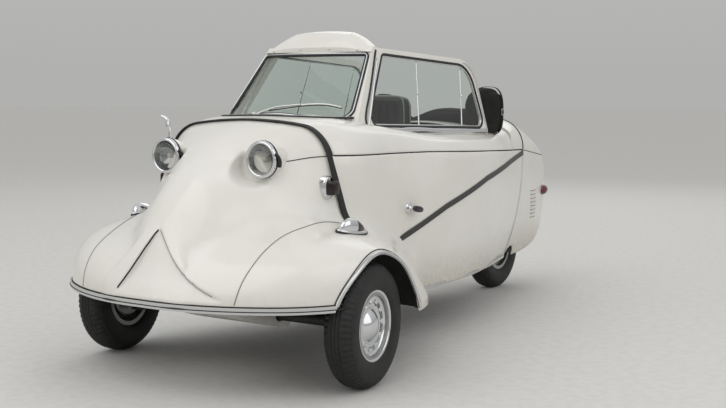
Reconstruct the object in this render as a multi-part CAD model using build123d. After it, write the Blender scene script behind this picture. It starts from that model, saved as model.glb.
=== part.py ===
from build123d import *
import math
import os

# Three-wheeled tandem two-seater with a side-hinged canopy: two steered wheels in front, one driven
# wheel behind. Millimetres. +Z is up, the nose points to -Y and the car's left side is +X.
# Every piece is drawn with the front axle's centre line at Y = 0 ("station" 0, counted backwards)
# and is moved to the frame of the whole car when it is written.

os.makedirs("parts", exist_ok=True)

# Overall sizes
LENGTH = 2820.0
FRONT_OVERHANG = 470.0
WHEELBASE = 2027.0
TRACK = 1068.0
HEIGHT = 1200.0

# Tyres and wheels
TYRE_DIAMETER = 414.0
TYRE_WIDTH = 107.0
TYRE_BEAD_RADIUS = 104.0
RIM_FLANGE_RADIUS = 117.0
RIM_WIDTH = 80.0
HUB_RADIUS = 30.0
AXLE_RADIUS = 10.0
AXLE_RUNNING_GAP = 0.05
DRUM_RADIUS = 78.0
HUBCAP_RADIUS = 72.0
HUBCAP_DOME = 26.0

# Sheet and gaps
BODY_WALL = 9.0
FENDER_WALL = 6.0
SHUT_GAP = 5.0
TRIM_PROUD = 4.0

# Places along the car
HOOP_STATION = 90.0
TAIL_STATION = 1850.0
BULKHEAD_STATION = 1640.0
ENGINE_BAY_DROP = 60.0

# Steering
STEER_AT_REST = 6.0
KINGPIN_X = 462.0
KINGPIN_RADIUS = 9.0
KNUCKLE_EYE_RADIUS = 20.0
KNUCKLE_EYE_HEIGHT = 80.0
STEER_ARM = 105.0
ARM_PLATE = 10.0
ARM_SIDE_DROP = 35.0
TIE_ROD_PIN_RADIUS = 6.0
TIE_ROD_GAP = 1.0
OPEN_PIVOT_GAP = 2.5
AXLE_TUBE_RADIUS = 20.0

# Wheel houses cut into the front body
WHEEL_HOUSE_X = 292.0
WHEEL_HOUSE_FRONT = -262.0
WHEEL_HOUSE_REAR = 330.0
WHEEL_HOUSE_TOP = 440.0

# Notch above the rear wheel's hub, cut across the tail
NOTCH_RADIUS = 62.0
NOTCH_STATION = 1905.0
NOTCH_HEIGHT = 168.0

# Strips on the body
APRON_STRIP_LOW = 284.0
APRON_STRIP_HEIGHT = 21.0
APRON_STRIP_PROUD = 7.0
APRON_STRIP_END = -150.0
HOOP_WIDTH = 16.0

# Inside the body
NOSE_WALL_STATION = -285.0
DASH_STATION = 215.0
DASH_WALL = 12.0
FORK_X = 86.0
FORK_WALL = 12.0
# Engine block: two x values, two stations, two heights
ENGINE = (-135.0, 135.0, 1655.0, 1806.0, 262.0, 590.0)

WHEEL_HEIGHT = TYRE_DIAMETER / 2
FRONT_AXLE_Y = FRONT_OVERHANG - LENGTH / 2
TAIL_END_STATION = LENGTH - FRONT_OVERHANG

# Body cross-sections, each a smooth closed curve of a crown arc, two shoulder arcs, two flank arcs
# and a flat underside.
# Columns: station, crown height, crown radius, half width, height of widest point, flank radius,
# shoulder radius, underside height.
BODY_SECTIONS = [
    (-462.0, 325.0, 900.0, 140.0, 300.0, 100.0, 15.0, 285.0),
    (-440.0, 392.0, 420.0, 200.0, 305.0, 220.0, 50.0, 283.0),
    (-380.0, 518.0, 250.0, 204.0, 205.0, 400.0, 100.0, 278.0),
    (-300.0, 628.0, 300.0, 241.0, 272.0, 430.0, 110.0, 268.0),
    (-200.0, 716.0, 400.0, 303.0, 236.0, 620.0, 140.0, 258.0),
    (-100.0, 793.0, 360.0, 331.0, 330.0, 640.0, 60.0, 248.0),
    (0.0, 840.0, 770.0, 343.0, 440.0, 740.0, 90.0, 240.0),
    (90.0, 864.0, 1900.0, 362.0, 560.0, 1800.0, 140.0, 232.0),
    (400.0, 885.0, 1500.0, 398.0, 530.0, 1300.0, 150.0, 214.0),
    (800.0, 836.0, 1500.0, 404.0, 540.0, 1200.0, 120.0, 205.0),
    (1200.0, 832.0, 1200.0, 378.0, 570.0, 1150.0, 120.0, 199.0),
    (1500.0, 850.0, 700.0, 322.0, 600.0, 1150.0, 130.0, 192.0),
    (1850.0, 855.0, 480.0, 240.0, 640.0, 1150.0, 130.0, 180.0),
    (2100.0, 786.0, 340.0, 194.0, 600.0, 1300.0, 100.0, 188.0),
    (2250.0, 726.0, 240.0, 164.0, 560.0, 1500.0, 80.0, 232.0),
    (TAIL_END_STATION, 660.0, 150.0, 132.0, 500.0, 1000.0, 60.0, 290.0),
]


def box(x0, x1, y0, y1, z0, z1):
    """Box between two corners."""
    centre = Pos((x0 + x1) / 2, (y0 + y1) / 2, (z0 + z1) / 2)
    return centre * Box(abs(x1 - x0), abs(y1 - y0), abs(z1 - z0))


def both_sides(shape):
    """The shape and its mirror image in the car's middle plane."""
    return shape + mirror(shape, about=Plane.YZ)


def side_prism(points, x0, x1):
    """Prism across the car on a polygon of (station, height) points, between two x values."""
    face = make_face(Polyline([(x0, s, z) for s, z in points], close=True))
    return extrude(face, amount=abs(x1 - x0), dir=(1 if x1 > x0 else -1, 0, 0))


def shoulder_centre(crown, crown_reach, flank, flank_reach):
    """Centre of the shoulder arc: the upper outer crossing of two circles about the other centres."""
    span = math.dist(crown, flank)
    along = (crown_reach**2 - flank_reach**2 + span**2) / (2 * span)
    aside = math.sqrt(max(crown_reach**2 - along**2, 0.0))
    ux = (flank[0] - crown[0]) / span
    uz = (flank[1] - crown[1]) / span
    mid = (crown[0] + along * ux, crown[1] + along * uz)
    picks = [(mid[0] - aside * uz, mid[1] + aside * ux), (mid[0] + aside * uz, mid[1] - aside * ux)]
    return max(picks, key=lambda p: p[0] + p[1])


def body_section(row, inset=0.0, station=None, floor_drop=0.0):
    """Face of one cross-section, moved inwards by inset; floor_drop lowers the underside."""
    own_station, crown_z, crown_r, half_width, wide_z, flank_r, shoulder_r, under_z = row
    y = own_station if station is None else station
    crown = (0.0, crown_z - crown_r)
    flank = (half_width - flank_r, wide_z)
    shoulder = shoulder_centre(crown, crown_r - shoulder_r, flank, flank_r - shoulder_r)
    crown_end = math.atan2(shoulder[0] - crown[0], shoulder[1] - crown[1])
    flank_start = math.atan2(shoulder[0] - flank[0], shoulder[1] - flank[1])
    bottom = under_z + inset - floor_drop
    flank_end = math.pi / 2 + math.asin((wide_z - bottom) / (flank_r - inset))

    def at(centre, radius, angle, side=1):
        """Point on a circle, its angle counted from straight up."""
        x = centre[0] + (radius - inset) * math.sin(angle)
        return (side * x, y, centre[1] + (radius - inset) * math.cos(angle))

    def arc(centre, radius, start, end, side=1):
        return ThreePointArc(
            at(centre, radius, start, side),
            at(centre, radius, (start + end) / 2, side),
            at(centre, radius, end, side),
        )

    edges = [
        arc(crown, crown_r, -crown_end, crown_end),
        arc(shoulder, shoulder_r, crown_end, flank_start),
        arc(flank, flank_r, flank_start, flank_end),
        Line(at(flank, flank_r, flank_end), at(flank, flank_r, flank_end, -1)),
        arc(flank, flank_r, flank_end, flank_start, -1),
        arc(shoulder, shoulder_r, flank_start, crown_end, -1),
    ]
    return make_face(edges)


def body_loft(inset=0.0, rows=None, floor_drop=0.0):
    """Solid through all cross-sections, moved inwards by inset, or outwards where it is negative."""
    rows = BODY_SECTIONS if rows is None else rows
    faces = []
    for index, row in enumerate(rows):
        station = row[0]
        if inset > 0 and index == 0:
            station += inset
        if inset > 0 and index == len(rows) - 1:
            station -= inset
        faces.append(body_section(row, inset, station, floor_drop))
    return loft(faces)


# Wide front apron and fenders: one dome over both front wheels, drawn as level outlines.
DOME_HALF_WIDTH = 612.0
DOME_FRONT = 470.0
DOME_CENTRE_STATION = 7.0
DOME_TOP = 549.0
DOME_SIDE_BREAK = 370.0
DOME_FRONT_BREAK = 290.0
DOME_BOTTOM = 245.0
APRON_BOTTOM = 288.0
DOME_REAR_TOP = 420.0
DOME_REAR_FLARE = 1.6
DOME_REAR_FLARE_FROM = 490.0
DOME_SIDE_POWER = 2.5
DOME_PLAN_POWER = 2.15
DOME_LEVELS = [DOME_BOTTOM, 290.0, 340.0, 390.0, 430.0, 465.0, 495.0, 520.0, 538.0]


def dome_level(z, inset=0.0):
    """Half width, front reach and rear reach of the dome's outline at one height."""
    side = max(z - DOME_SIDE_BREAK, 0.0) / (DOME_TOP + 1 - inset - DOME_SIDE_BREAK)
    fall = max(1 - side**DOME_SIDE_POWER, 0.0) ** (1 / DOME_SIDE_POWER)
    front = max(z - DOME_FRONT_BREAK, 0.0) / (DOME_TOP + 1 - inset - DOME_FRONT_BREAK)
    front_fall = math.sqrt(max(1 - front**2, 0.0))
    rear = DOME_REAR_TOP + DOME_REAR_FLARE * max(DOME_REAR_FLARE_FROM - z, 0.0)
    return (
        DOME_HALF_WIDTH * fall - inset,
        DOME_FRONT * front_fall - inset,
        rear * fall - inset,
    )


def dome_face(z, inset=0.0):
    """Level outline of the dome: a full-nosed curve in front, an ellipse behind, in six arcs."""
    half, front, rear = dome_level(z, inset)

    def ahead(degrees):
        c = math.cos(math.radians(degrees))
        s = math.sin(math.radians(degrees))
        power = 2 / DOME_PLAN_POWER
        x = half * math.copysign(abs(c) ** power, c)
        return (x, DOME_CENTRE_STATION - front * abs(s) ** power, z)

    def behind(degrees):
        a = math.radians(degrees)
        return (half * math.cos(a), DOME_CENTRE_STATION + rear * math.sin(a), z)

    edges = [
        ThreePointArc(ahead(0), ahead(22), ahead(45)),
        ThreePointArc(ahead(45), ahead(66), ahead(90)),
        ThreePointArc(ahead(90), ahead(114), ahead(135)),
        ThreePointArc(ahead(135), ahead(158), ahead(180)),
        ThreePointArc(behind(180), behind(135), behind(90)),
        ThreePointArc(behind(90), behind(45), behind(0)),
    ]
    return make_face(edges)


def dome_loft(inset=0.0, drop=0.0):
    """Solid of the dome, moved inwards by inset; drop pulls its lowest outline down."""
    faces = [dome_face(z, inset) for z in DOME_LEVELS]
    if drop:
        faces[0] = Pos(0, 0, -drop) * faces[0]
    return loft(faces)



# Lines that part the body
WAIST_LINE = [(HOOP_STATION, 749.0), (700.0, 739.0), (TAIL_STATION, 698.0)]
TAIL_WAIST_END = (TAIL_END_STATION, 641.0)

# Canopy: windscreen and side windows stand on one tapering ring, drawn level at two heights.
# Columns: height, half width at the corners, station of the corners, station of the middle,
# half width at the rear.
CANOPY_LEVELS = [
    (830.0, 306.0, 307.0, 164.0, 300.0),
    (1119.0, 241.0, 512.0, 494.0, 268.0),
]
CANOPY_BOTTOM = 780.0
CANOPY_TOP = 1132.0
CANOPY_REAR_STATION = 1400.0
CANOPY_WALL = 16.0
GLASS_THICKNESS = 5.0
GLASS_INSET = 5.0

# Roof header. Columns: station, half width, top height
HEADER_SECTIONS = [
    (488.0, 238.0, 1130.0),
    (508.0, 243.0, 1163.0),
    (535.0, 244.0, 1185.0),
    (568.0, 243.0, HEIGHT - 6),
]
HEADER_BASE = 1112.0
HEADER_WALL = 8.0
HEADER_KNEE = 0.52
HOOD_KNEE = 0.84

# Window openings, as polygons with a corner radius each
WINDSCREEN_OPENING = [(-278.0, 862.0), (0.0, 886.0), (278.0, 862.0), (232.0, 1101.0), (-232.0, 1101.0)]
WINDSCREEN_RADII = [30.0, 900.0, 30.0, 14.0, 14.0]
SIDE_OPENING = [(396.0, 843.0), (576.0, 1103.0), (1226.0, 1074.0), (1320.0, 817.0)]
SIDE_OPENING_RADII = [34.0, 24.0, 130.0, 34.0]
SIDE_FRAME = [(362.0, 800.0), (549.0, 1128.0), (1262.0, 1098.0), (1352.0, 790.0)]
SIDE_FRAME_RADII = [4.0, 8.0, 150.0, 12.0]
PILLAR_SPLIT = [(335.0, 780.0), (548.0, 1150.0)]

# Cockpit hole in the lid: half-outline of (x, station)
COCKPIT_HOLE = [(190.0, 282.0), (266.0, 345.0), (284.0, 430.0), (284.0, 1285.0)]
COCKPIT_HOLE_FRONT = 262.0

# Wheel arch
ARCH_STATION = 24.0
ARCH_HEIGHT = 208.0
ARCH_RADIUS = 233.0
ARCH_TRIM_WIDTH = 9.0
ARCH_TRIM_FOOT = 262.0
ARCH_INNER_X = 440.0

# Lid hinge on the right-hand waist
LID_HINGE_X = -398.0
LID_HINGE_Z = 740.0
LID_HINGE_STATIONS = [450.0, 1120.0]
HINGE_BARREL_RADIUS = 6.0
HINGE_PIN_RADIUS = 3.0

# Lamps
HEADLAMP_X = 209.0
HEADLAMP_STATION = -106.0
HEADLAMP_Z = 741.0
HEADLAMP_RADIUS = 61.0
FENDER_LAMP_X = 489.0
FENDER_LAMP_STATION = 16.0
SIDE_LAMP_STATION = 60.0
SIDE_LAMP_Z = 643.0
SIDE_LAMP_HALF_HEIGHT = 39.0
SIDE_LAMP_HALF_WIDTH = 27.0
FENDER_LAMP_Z = 492.0
FENDER_LAMP_TILT = 20.0
FENDER_LAMP_LENGTH = 130.0
FENDER_LAMP_RADIUS = 31.0
FENDER_LAMP_RISE = 28.0
TAIL_LAMP = (158.0, 2262.0, 478.0)

# Small fittings
WIPER_PIVOT = (-75.0, 222.0)
WIPER_PIVOT_RADIUS = 7.0
WIPER_TIP = (120.0, 250.0, 921.0)
HANDLE_STATION = 528.0
HANDLE_Z = 539.0
TAIL_HINGE_X = 70.0
TAIL_HINGE_Z = 866.0


def rounded_prism(points, radii, along, start, amount):
    """Prism on a polygon with rounded corners. Across the car the points are (station, height),
    along the car they are (x, height), and upwards they are (x, station)."""
    place = {
        "x": lambda a, b: (start, a, b),
        "y": lambda a, b: (a, start, b),
        "z": lambda a, b: (a, b, start),
    }[along]
    way = {"x": (1, 0, 0), "y": (0, 1, 0), "z": (0, 0, 1)}[along]
    outline = FilletPolyline(*[place(a, b) for a, b in points], radius=radii, close=True)
    return extrude(make_face(outline), amount=amount, dir=way)


def canopy_level(z):
    """Corner half width, corner station, middle station and rear half width at one height."""
    low, high = CANOPY_LEVELS
    share = (z - low[0]) / (high[0] - low[0])
    return [a + share * (b - a) for a, b in zip(low[1:], high[1:])]


def canopy_face(z, inset=0.0, rear=CANOPY_REAR_STATION):
    """Level outline of the canopy ring, open to the rear beyond the side windows."""
    corner_x, corner_s, middle_s, rear_x = canopy_level(z)
    corner_x -= inset
    rear_x -= inset
    corner_s += inset
    middle_s += inset
    edges = [
        ThreePointArc((-corner_x, corner_s, z), (0, middle_s, z), (corner_x, corner_s, z)),
        Line((corner_x, corner_s, z), (rear_x, rear, z)),
        Line((rear_x, rear, z), (-rear_x, rear, z)),
        Line((-rear_x, rear, z), (-corner_x, corner_s, z)),
    ]
    return make_face(edges)


def canopy_shell(inset, thickness):
    """Wall of the canopy ring between two insets, open below, above and behind."""
    outside = loft([canopy_face(CANOPY_BOTTOM, inset), canopy_face(CANOPY_TOP, inset)], ruled=True)
    more = inset + thickness
    rear = CANOPY_REAR_STATION + 10
    low = canopy_face(CANOPY_BOTTOM - 5, more, rear)
    high = canopy_face(CANOPY_TOP + 5, more, rear)
    return outside - loft([low, high], ruled=True)


def header_face(station, half_width, base, top, knee_share=HEADER_KNEE):
    """Cross-section of the roof header or the hood: a low vault that droops beyond its knees."""
    rise = top - base
    knee = (knee_share * half_width, base + 0.92 * rise)
    bend = ((knee_share + 1) / 2 * half_width + 6, base + 0.55 * rise)
    y = station
    edges = [
        ThreePointArc((half_width, y, base), (bend[0], y, bend[1]), (knee[0], y, knee[1])),
        ThreePointArc((knee[0], y, knee[1]), (0, y, top), (-knee[0], y, knee[1])),
        ThreePointArc((-knee[0], y, knee[1]), (-bend[0], y, bend[1]), (-half_width, y, base)),
        Line((-half_width, y, base), (half_width, y, base)),
    ]
    return make_face(edges)


def tyre():
    """Tyre about the X axis at the origin."""
    half = TYRE_WIDTH / 2
    top = TYRE_DIAMETER / 2
    bead = TYRE_BEAD_RADIUS
    tread_edge = (0.62 * half, 0, top - 6)
    widest = (half, 0, top - 52)
    bead_toe = (0.66 * half, 0, bead + 6)

    def other(p):
        return (-p[0], p[1], p[2])

    tread_corner = (0.92 * half, 0, top - 24)
    sidewall = (0.93 * half, 0, top - 78)
    profile = [
        ThreePointArc(other(tread_edge), (0, 0, top), tread_edge),
        ThreePointArc(tread_edge, tread_corner, widest),
        ThreePointArc(widest, sidewall, bead_toe),
        Line(bead_toe, (0.60 * half, 0, bead)),
        Line((0.60 * half, 0, bead), (-0.60 * half, 0, bead)),
        Line((-0.60 * half, 0, bead), other(bead_toe)),
        ThreePointArc(other(bead_toe), other(sidewall), other(widest)),
        ThreePointArc(other(widest), other(tread_corner), other(tread_edge)),
    ]
    return revolve(make_face(profile), axis=Axis.X)


# Half-section of a wheel without its tyre: distance from the wheel's middle plane towards the
# outside of the car, and radius.
HUB_INNER = -40.0
HUB_OUTER = 26.0
WHEEL_SECTION = [
    (-RIM_WIDTH / 2, RIM_FLANGE_RADIUS),
    (-36.5, RIM_FLANGE_RADIUS),
    (-36.5, TYRE_BEAD_RADIUS),
    (36.5, TYRE_BEAD_RADIUS),
    (36.5, RIM_FLANGE_RADIUS),
    (RIM_WIDTH / 2, RIM_FLANGE_RADIUS),
    (RIM_WIDTH / 2, 99.0),
    (16.0, 99.0),
    (10.0, 88.0),
    (15.0, 70.0),
    (15.0, 36.0),
    (HUB_OUTER, HUB_RADIUS),
    (HUB_OUTER, AXLE_RADIUS + AXLE_RUNNING_GAP),
    (HUB_INNER, AXLE_RADIUS + AXLE_RUNNING_GAP),
    (HUB_INNER, HUB_RADIUS),
    (HUB_INNER + 4, DRUM_RADIUS - 6),
    (HUB_INNER + 10, DRUM_RADIUS),
    (-2.0, DRUM_RADIUS),
    (4.0, 88.0),
    (10.0, 99.0),
    (-RIM_WIDTH / 2, 99.0),
]


def wheel():
    """Pressed rim and disc with hub and brake drum, about the X axis at the origin, outside at +X."""
    section = make_face(Polyline([(x, 0, r) for x, r in WHEEL_SECTION], close=True))
    return revolve(section, axis=Axis.X) - tyre()


def hubcap():
    """Domed cap pressed on the wheel disc."""
    rim = 15.0
    shell = 2.0
    crown = 6.0
    apex = rim + HUBCAP_DOME
    mid = (rim + 0.80 * HUBCAP_DOME, 0, 0.62 * HUBCAP_RADIUS)
    inner_mid = (mid[0] - shell, 0, mid[2] - shell / 2)
    profile = [
        ThreePointArc((rim, 0, HUBCAP_RADIUS), mid, (apex, 0, crown)),
        Line((apex, 0, crown), (apex, 0, 0)),
        Line((apex, 0, 0), (apex - shell, 0, 0)),
        Line((apex - shell, 0, 0), (apex - shell, 0, crown)),
        ThreePointArc((apex - shell, 0, crown), inner_mid, (rim, 0, HUBCAP_RADIUS - shell)),
        Line((rim, 0, HUBCAP_RADIUS - shell), (rim, 0, HUBCAP_RADIUS)),
    ]
    return spun(profile, Axis.X)


def rod_x(radius, x0, x1, s, z):
    """Cylinder across the car."""
    return Pos((x0 + x1) / 2, s, z) * Rot(0, 90, 0) * Cylinder(radius, abs(x1 - x0))


def rod_y(radius, s0, s1, x, z):
    """Cylinder along the car."""
    return Pos(x, (s0 + s1) / 2, z) * Rot(90, 0, 0) * Cylinder(radius, abs(s1 - s0))


def rod_z(radius, z0, z1, x, s):
    """Upright cylinder."""
    return Pos(x, s, (z0 + z1) / 2) * Cylinder(radius, abs(z1 - z0))


def steered(shape, side):
    """The shape turned about a kingpin by the wheels' position at rest; side is +1 on the left."""
    place = Pos(side * KINGPIN_X, 0, 0)
    back = Pos(-side * KINGPIN_X, 0, 0)
    return place * Rot(0, 0, STEER_AT_REST) * back * shape


def knuckle(side):
    """Kingpin eye, stub axle and steering arm of one front wheel, before it is steered."""
    eye_low = WHEEL_HEIGHT - KNUCKLE_EYE_HEIGHT / 2
    eye_high = WHEEL_HEIGHT + KNUCKLE_EYE_HEIGHT / 2
    flange_x = TRACK / 2 + HUB_INNER - 2
    stub_end = TRACK / 2 + HUB_OUTER + 3
    arm_low = WHEEL_HEIGHT - ARM_SIDE_DROP
    arm_high = arm_low + ARM_PLATE
    shape = rod_z(KNUCKLE_EYE_RADIUS, eye_low, eye_high, KINGPIN_X, 0)
    shape += rod_x(KNUCKLE_EYE_RADIUS + 2, KINGPIN_X + 10, flange_x, 0, WHEEL_HEIGHT)
    shape += rod_x(AXLE_RADIUS, KINGPIN_X + 15, stub_end, 0, WHEEL_HEIGHT)
    shape += box(KINGPIN_X - 8, KINGPIN_X + 8, 8, STEER_ARM, arm_low, arm_high)
    shape += rod_z(13, arm_low, arm_high, KINGPIN_X, STEER_ARM)
    shape += rod_z(TIE_ROD_PIN_RADIUS, arm_low, arm_high + ARM_PLATE + 5, KINGPIN_X, STEER_ARM)
    shape -= rod_z(KINGPIN_RADIUS + AXLE_RUNNING_GAP, eye_low - 1, eye_high + 1, KINGPIN_X, 0)
    if side < 0:
        shape = mirror(shape, about=Plane.YZ)
    return steered(shape, side)


def tie_rod():
    """Bar between the steering arms, drawn in its place at rest. Its left eye fits the pin closely
    and its right eye is wide, because the chain is opened there."""
    angle = math.radians(STEER_AT_REST)
    shift = -STEER_ARM * math.sin(angle)
    s = STEER_ARM * math.cos(angle)
    low = WHEEL_HEIGHT - ARM_SIDE_DROP + ARM_PLATE + TIE_ROD_GAP
    high = low + ARM_PLATE
    bar = box(shift - KINGPIN_X, shift + KINGPIN_X, s - 8, s + 8, low, high)
    for side in (-1, 1):
        bar += rod_z(14, low, high, shift + side * KINGPIN_X, s)
    bar -= rod_z(TIE_ROD_PIN_RADIUS + AXLE_RUNNING_GAP, low - 1, high + 1, shift + KINGPIN_X, s)
    bar -= rod_z(TIE_ROD_PIN_RADIUS + OPEN_PIVOT_GAP, low - 1, high + 1, shift - KINGPIN_X, s)
    return bar


def front_axle():
    """Cross tube with a forked yoke and kingpin at each end, hung from the body by two blocks."""
    eye_low = WHEEL_HEIGHT - KNUCKLE_EYE_HEIGHT / 2
    eye_high = WHEEL_HEIGHT + KNUCKLE_EYE_HEIGHT / 2
    inner = KINGPIN_X - KNUCKLE_EYE_RADIUS - 15
    tube = rod_x(AXLE_TUBE_RADIUS, -inner - 4, inner + 4, 0, WHEEL_HEIGHT)
    end = box(inner, inner + 9, -22, 22, eye_low - 9, eye_high + 9)
    for low in (eye_low - 9, eye_high + 1):
        end += box(inner, KINGPIN_X, -22, 22, low, low + 8)
        end += rod_z(22, low, low + 8, KINGPIN_X, 0)
    end += rod_z(KINGPIN_RADIUS, eye_low - 5, eye_high + 5, KINGPIN_X, 0)
    blocks = box(225, 275, -22, 22, WHEEL_HEIGHT, 245)
    return tube + both_sides(end + blocks)


# Handlebar column
COLUMN_TOP = (520.0, 730.0)
COLUMN_FOOT = (222.0, 610.0)
COLUMN_RADIUS = 12.0


def along_column(shape, distance):
    """Place a shape drawn about +Z on the steering column, at a distance from its foot."""
    tilt = math.degrees(math.atan2(COLUMN_TOP[0] - COLUMN_FOOT[0], COLUMN_TOP[1] - COLUMN_FOOT[1]))
    return Pos(0, COLUMN_FOOT[0], COLUMN_FOOT[1]) * Rot(-tilt, 0, 0) * Pos(0, 0, distance) * shape


def steering_bar():
    """Column with a handlebar of two upturned grips."""
    length = math.dist(COLUMN_TOP, COLUMN_FOOT)
    start = 8.0
    shape = Pos(0, 0, (start + length) / 2) * Cylinder(COLUMN_RADIUS, length - start)
    shape += Pos(0, 0, length) * Cylinder(30, 22)
    bends = [(-165, 118, length), (-150, 0, length), (150, 0, length), (165, 118, length)]
    path = FilletPolyline(*bends, radius=38)
    bar = sweep(Plane(origin=path @ 0, z_dir=path % 0) * Circle(10), path=path)
    grips = Pos(0, 0, length) * both_sides(Pos(159, 72, 0) * Rot(0, 0, -7) * Rot(90, 0, 0) * Cylinder(15, 96))
    return along_column(Rot(0, 0, STEER_AT_REST) * (shape + bar + grips), 0)


def column_bearing():
    """Socket on the dashboard in which the column turns."""
    hole = Cylinder(COLUMN_RADIUS + AXLE_RUNNING_GAP, 200)
    return along_column(Pos(0, 0, 24) * Cylinder(24, 48), 0), along_column(hole, 100)


# Seats, as side outlines of (station, height) with corner radii
FRONT_SEAT = [
    (470.0, 300.0), (470.0, 392.0), (850.0, 375.0), (930.0, 905.0), (1035.0, 943.0), (960.0, 300.0),
]
FRONT_SEAT_RADII = [25.0, 40.0, 60.0, 40.0, 40.0, 30.0]
REAR_SEAT = [
    (1120.0, 300.0), (1120.0, 440.0), (1440.0, 420.0), (1500.0, 780.0), (1600.0, 780.0), (1570.0, 300.0),
]
REAR_SEAT_RADII = [25.0, 40.0, 60.0, 30.0, 30.0, 30.0]

# Folded hood: station, half width, base height, top height
HOOD_SECTIONS = [
    (1288.0, 262.0, 800.0, 905.0),
    (1325.0, 290.0, 790.0, 966.0),
    (1400.0, 296.0, 780.0, 988.0),
    (1490.0, 296.0, 777.0, 962.0),
    (1565.0, 282.0, 780.0, 872.0),
]


def hull_x(station, z):
    """Half width of the body at a station and height, from the cross-section table."""
    rows = BODY_SECTIONS
    for before, after in zip(rows, rows[1:]):
        if before[0] <= station <= after[0]:
            share = (station - before[0]) / (after[0] - before[0])
            at = []
            for row in (before, after):
                half_width, wide_z, flank_r = row[3], row[4], row[5]
                at.append(half_width - flank_r + math.sqrt(flank_r**2 - (z - wide_z) ** 2))
            return at[0] + share * (at[1] - at[0])
    raise ValueError(station)


def underside_z(station):
    """Height of the body's underside at a station."""
    rows = BODY_SECTIONS
    for before, after in zip(rows, rows[1:]):
        if before[0] <= station <= after[0]:
            share = (station - before[0]) / (after[0] - before[0])
            return before[7] + share * (after[7] - before[7])
    raise ValueError(station)


SILL_STATIONS = [262.0, 400.0, 600.0, 800.0, 1000.0, 1200.0, 1500.0, 1830.0]
SILL_HEIGHT = 14.0


def sill_trim():
    """Bright strip along the lower edge of the left flank."""
    faces = []
    for s in SILL_STATIONS:
        low = underside_z(s) - 1
        high = low + SILL_HEIGHT
        x_low = hull_x(s, low + 2)
        x_high = hull_x(s, high)
        corners = [
            (x_low - 5, s, low), (x_low + TRIM_PROUD, s, low),
            (x_high + TRIM_PROUD, s, high), (x_high - 5, s, high),
        ]
        faces.append(make_face(Polyline(corners, close=True)))
    return loft(faces, ruled=True)


# Dark strip that climbs the flank
FLANK_STRIP = [(447.0, 428.0), (800.0, 524.0), (1200.0, 608.0), (1600.0, 659.0), (1846.0, 685.0)]
FLANK_STRIP_HALF = 11.0

# Undertray below the nose, as a side outline
UNDERTRAY = [(-285.0, 262.0), (-283.0, 250.0), (50.0, 150.0), (58.0, 150.0), (58.0, 246.0)]
UNDERTRAY_HALF = 200.0


def headlamp(side):
    """Pod with a rim, its axis along the car."""
    r = HEADLAMP_RADIUS
    profile = [
        Line((0, -8, 0), (r - 10, -8, 0)),
        Line((r - 10, -8, 0), (r - 8, -14, 0)),
        ThreePointArc((r - 8, -14, 0), (r + 1, -10, 0), (r, 0, 0)),
        Line((r, 0, 0), (r - 3, 4, 0)),
        ThreePointArc((r - 3, 4, 0), (r - 12, 70, 0), (6, 168, 0)),
        Line((6, 168, 0), (0, 168, 0)),
        Line((0, 168, 0), (0, -8, 0)),
    ]
    pod = spun(profile, Axis.Y)
    return Pos(side * HEADLAMP_X, HEADLAMP_STATION, HEADLAMP_Z) * pod


def headlamp_lens(side):
    """Bowed glass in front of the pod."""
    r = HEADLAMP_RADIUS - 11
    crown = 5.0
    profile = [
        Line((0, -8, 0), (r, -8, 0)),
        ThreePointArc((r, -8, 0), (0.62 * r, -21, 0), (crown, -27, 0)),
        Line((crown, -27, 0), (0, -27, 0)),
        Line((0, -27, 0), (0, -8, 0)),
    ]
    lens = spun(profile, Axis.Y)
    return Pos(side * HEADLAMP_X, HEADLAMP_STATION, HEADLAMP_Z) * lens


def spindle(length, radius):
    """Oval solid about the Y axis with small flat ends."""
    half = length / 2
    tip = 3.0
    edges = [
        ThreePointArc((tip, -half, 0), (radius, 0, 0), (tip, half, 0)),
        Line((tip, half, 0), (0, half, 0)),
        Line((0, half, 0), (0, -half, 0)),
        Line((0, -half, 0), (tip, -half, 0)),
    ]
    return spun(edges, Axis.Y)


def spun(edges, axis):
    """Solid of revolution, its faces turned outwards."""
    face = make_face(edges)
    solid = revolve(face, axis=axis)
    return solid if solid.volume > 0 else revolve(-face, axis=axis)


def largest(shape, floor_volume=500.0):
    """The shape without crumbs below a volume, in cubic millimetres."""
    solids = [s for s in shape.solids() if s.volume > floor_volume]
    return Compound(children=solids) if len(solids) > 1 else solids[0]


def fender_lamp():
    """Teardrop lamp on an oval foot, leaning outwards with the left fender, with its underside left whole."""
    foot = extrude(Ellipse(FENDER_LAMP_RADIUS + 5, FENDER_LAMP_LENGTH / 2 + 4), 6)
    above = box(-60, 60, -90, 90, 0, 90)
    lamp = Pos(0, 0, FENDER_LAMP_RISE) * spindle(FENDER_LAMP_LENGTH, FENDER_LAMP_RADIUS)
    place = Pos(FENDER_LAMP_X, FENDER_LAMP_STATION, FENDER_LAMP_Z) * Rot(0, FENDER_LAMP_TILT, 0)
    return place * ((lamp & above) + foot)


def side_lamp():
    """Oval bezel and raised lens on the left of the nose, just ahead of the hoop."""
    x = hull_x(SIDE_LAMP_STATION, SIDE_LAMP_Z)
    high, wide = SIDE_LAMP_HALF_HEIGHT, SIDE_LAMP_HALF_WIDTH
    bezel = extrude(Ellipse(high, wide), 45)
    lens = extrude(Ellipse(high - 14, wide - 7), 60)
    return Pos(x - 35, SIDE_LAMP_STATION, SIDE_LAMP_Z) * Rot(0, 90, 0) * (bezel + lens)


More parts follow.
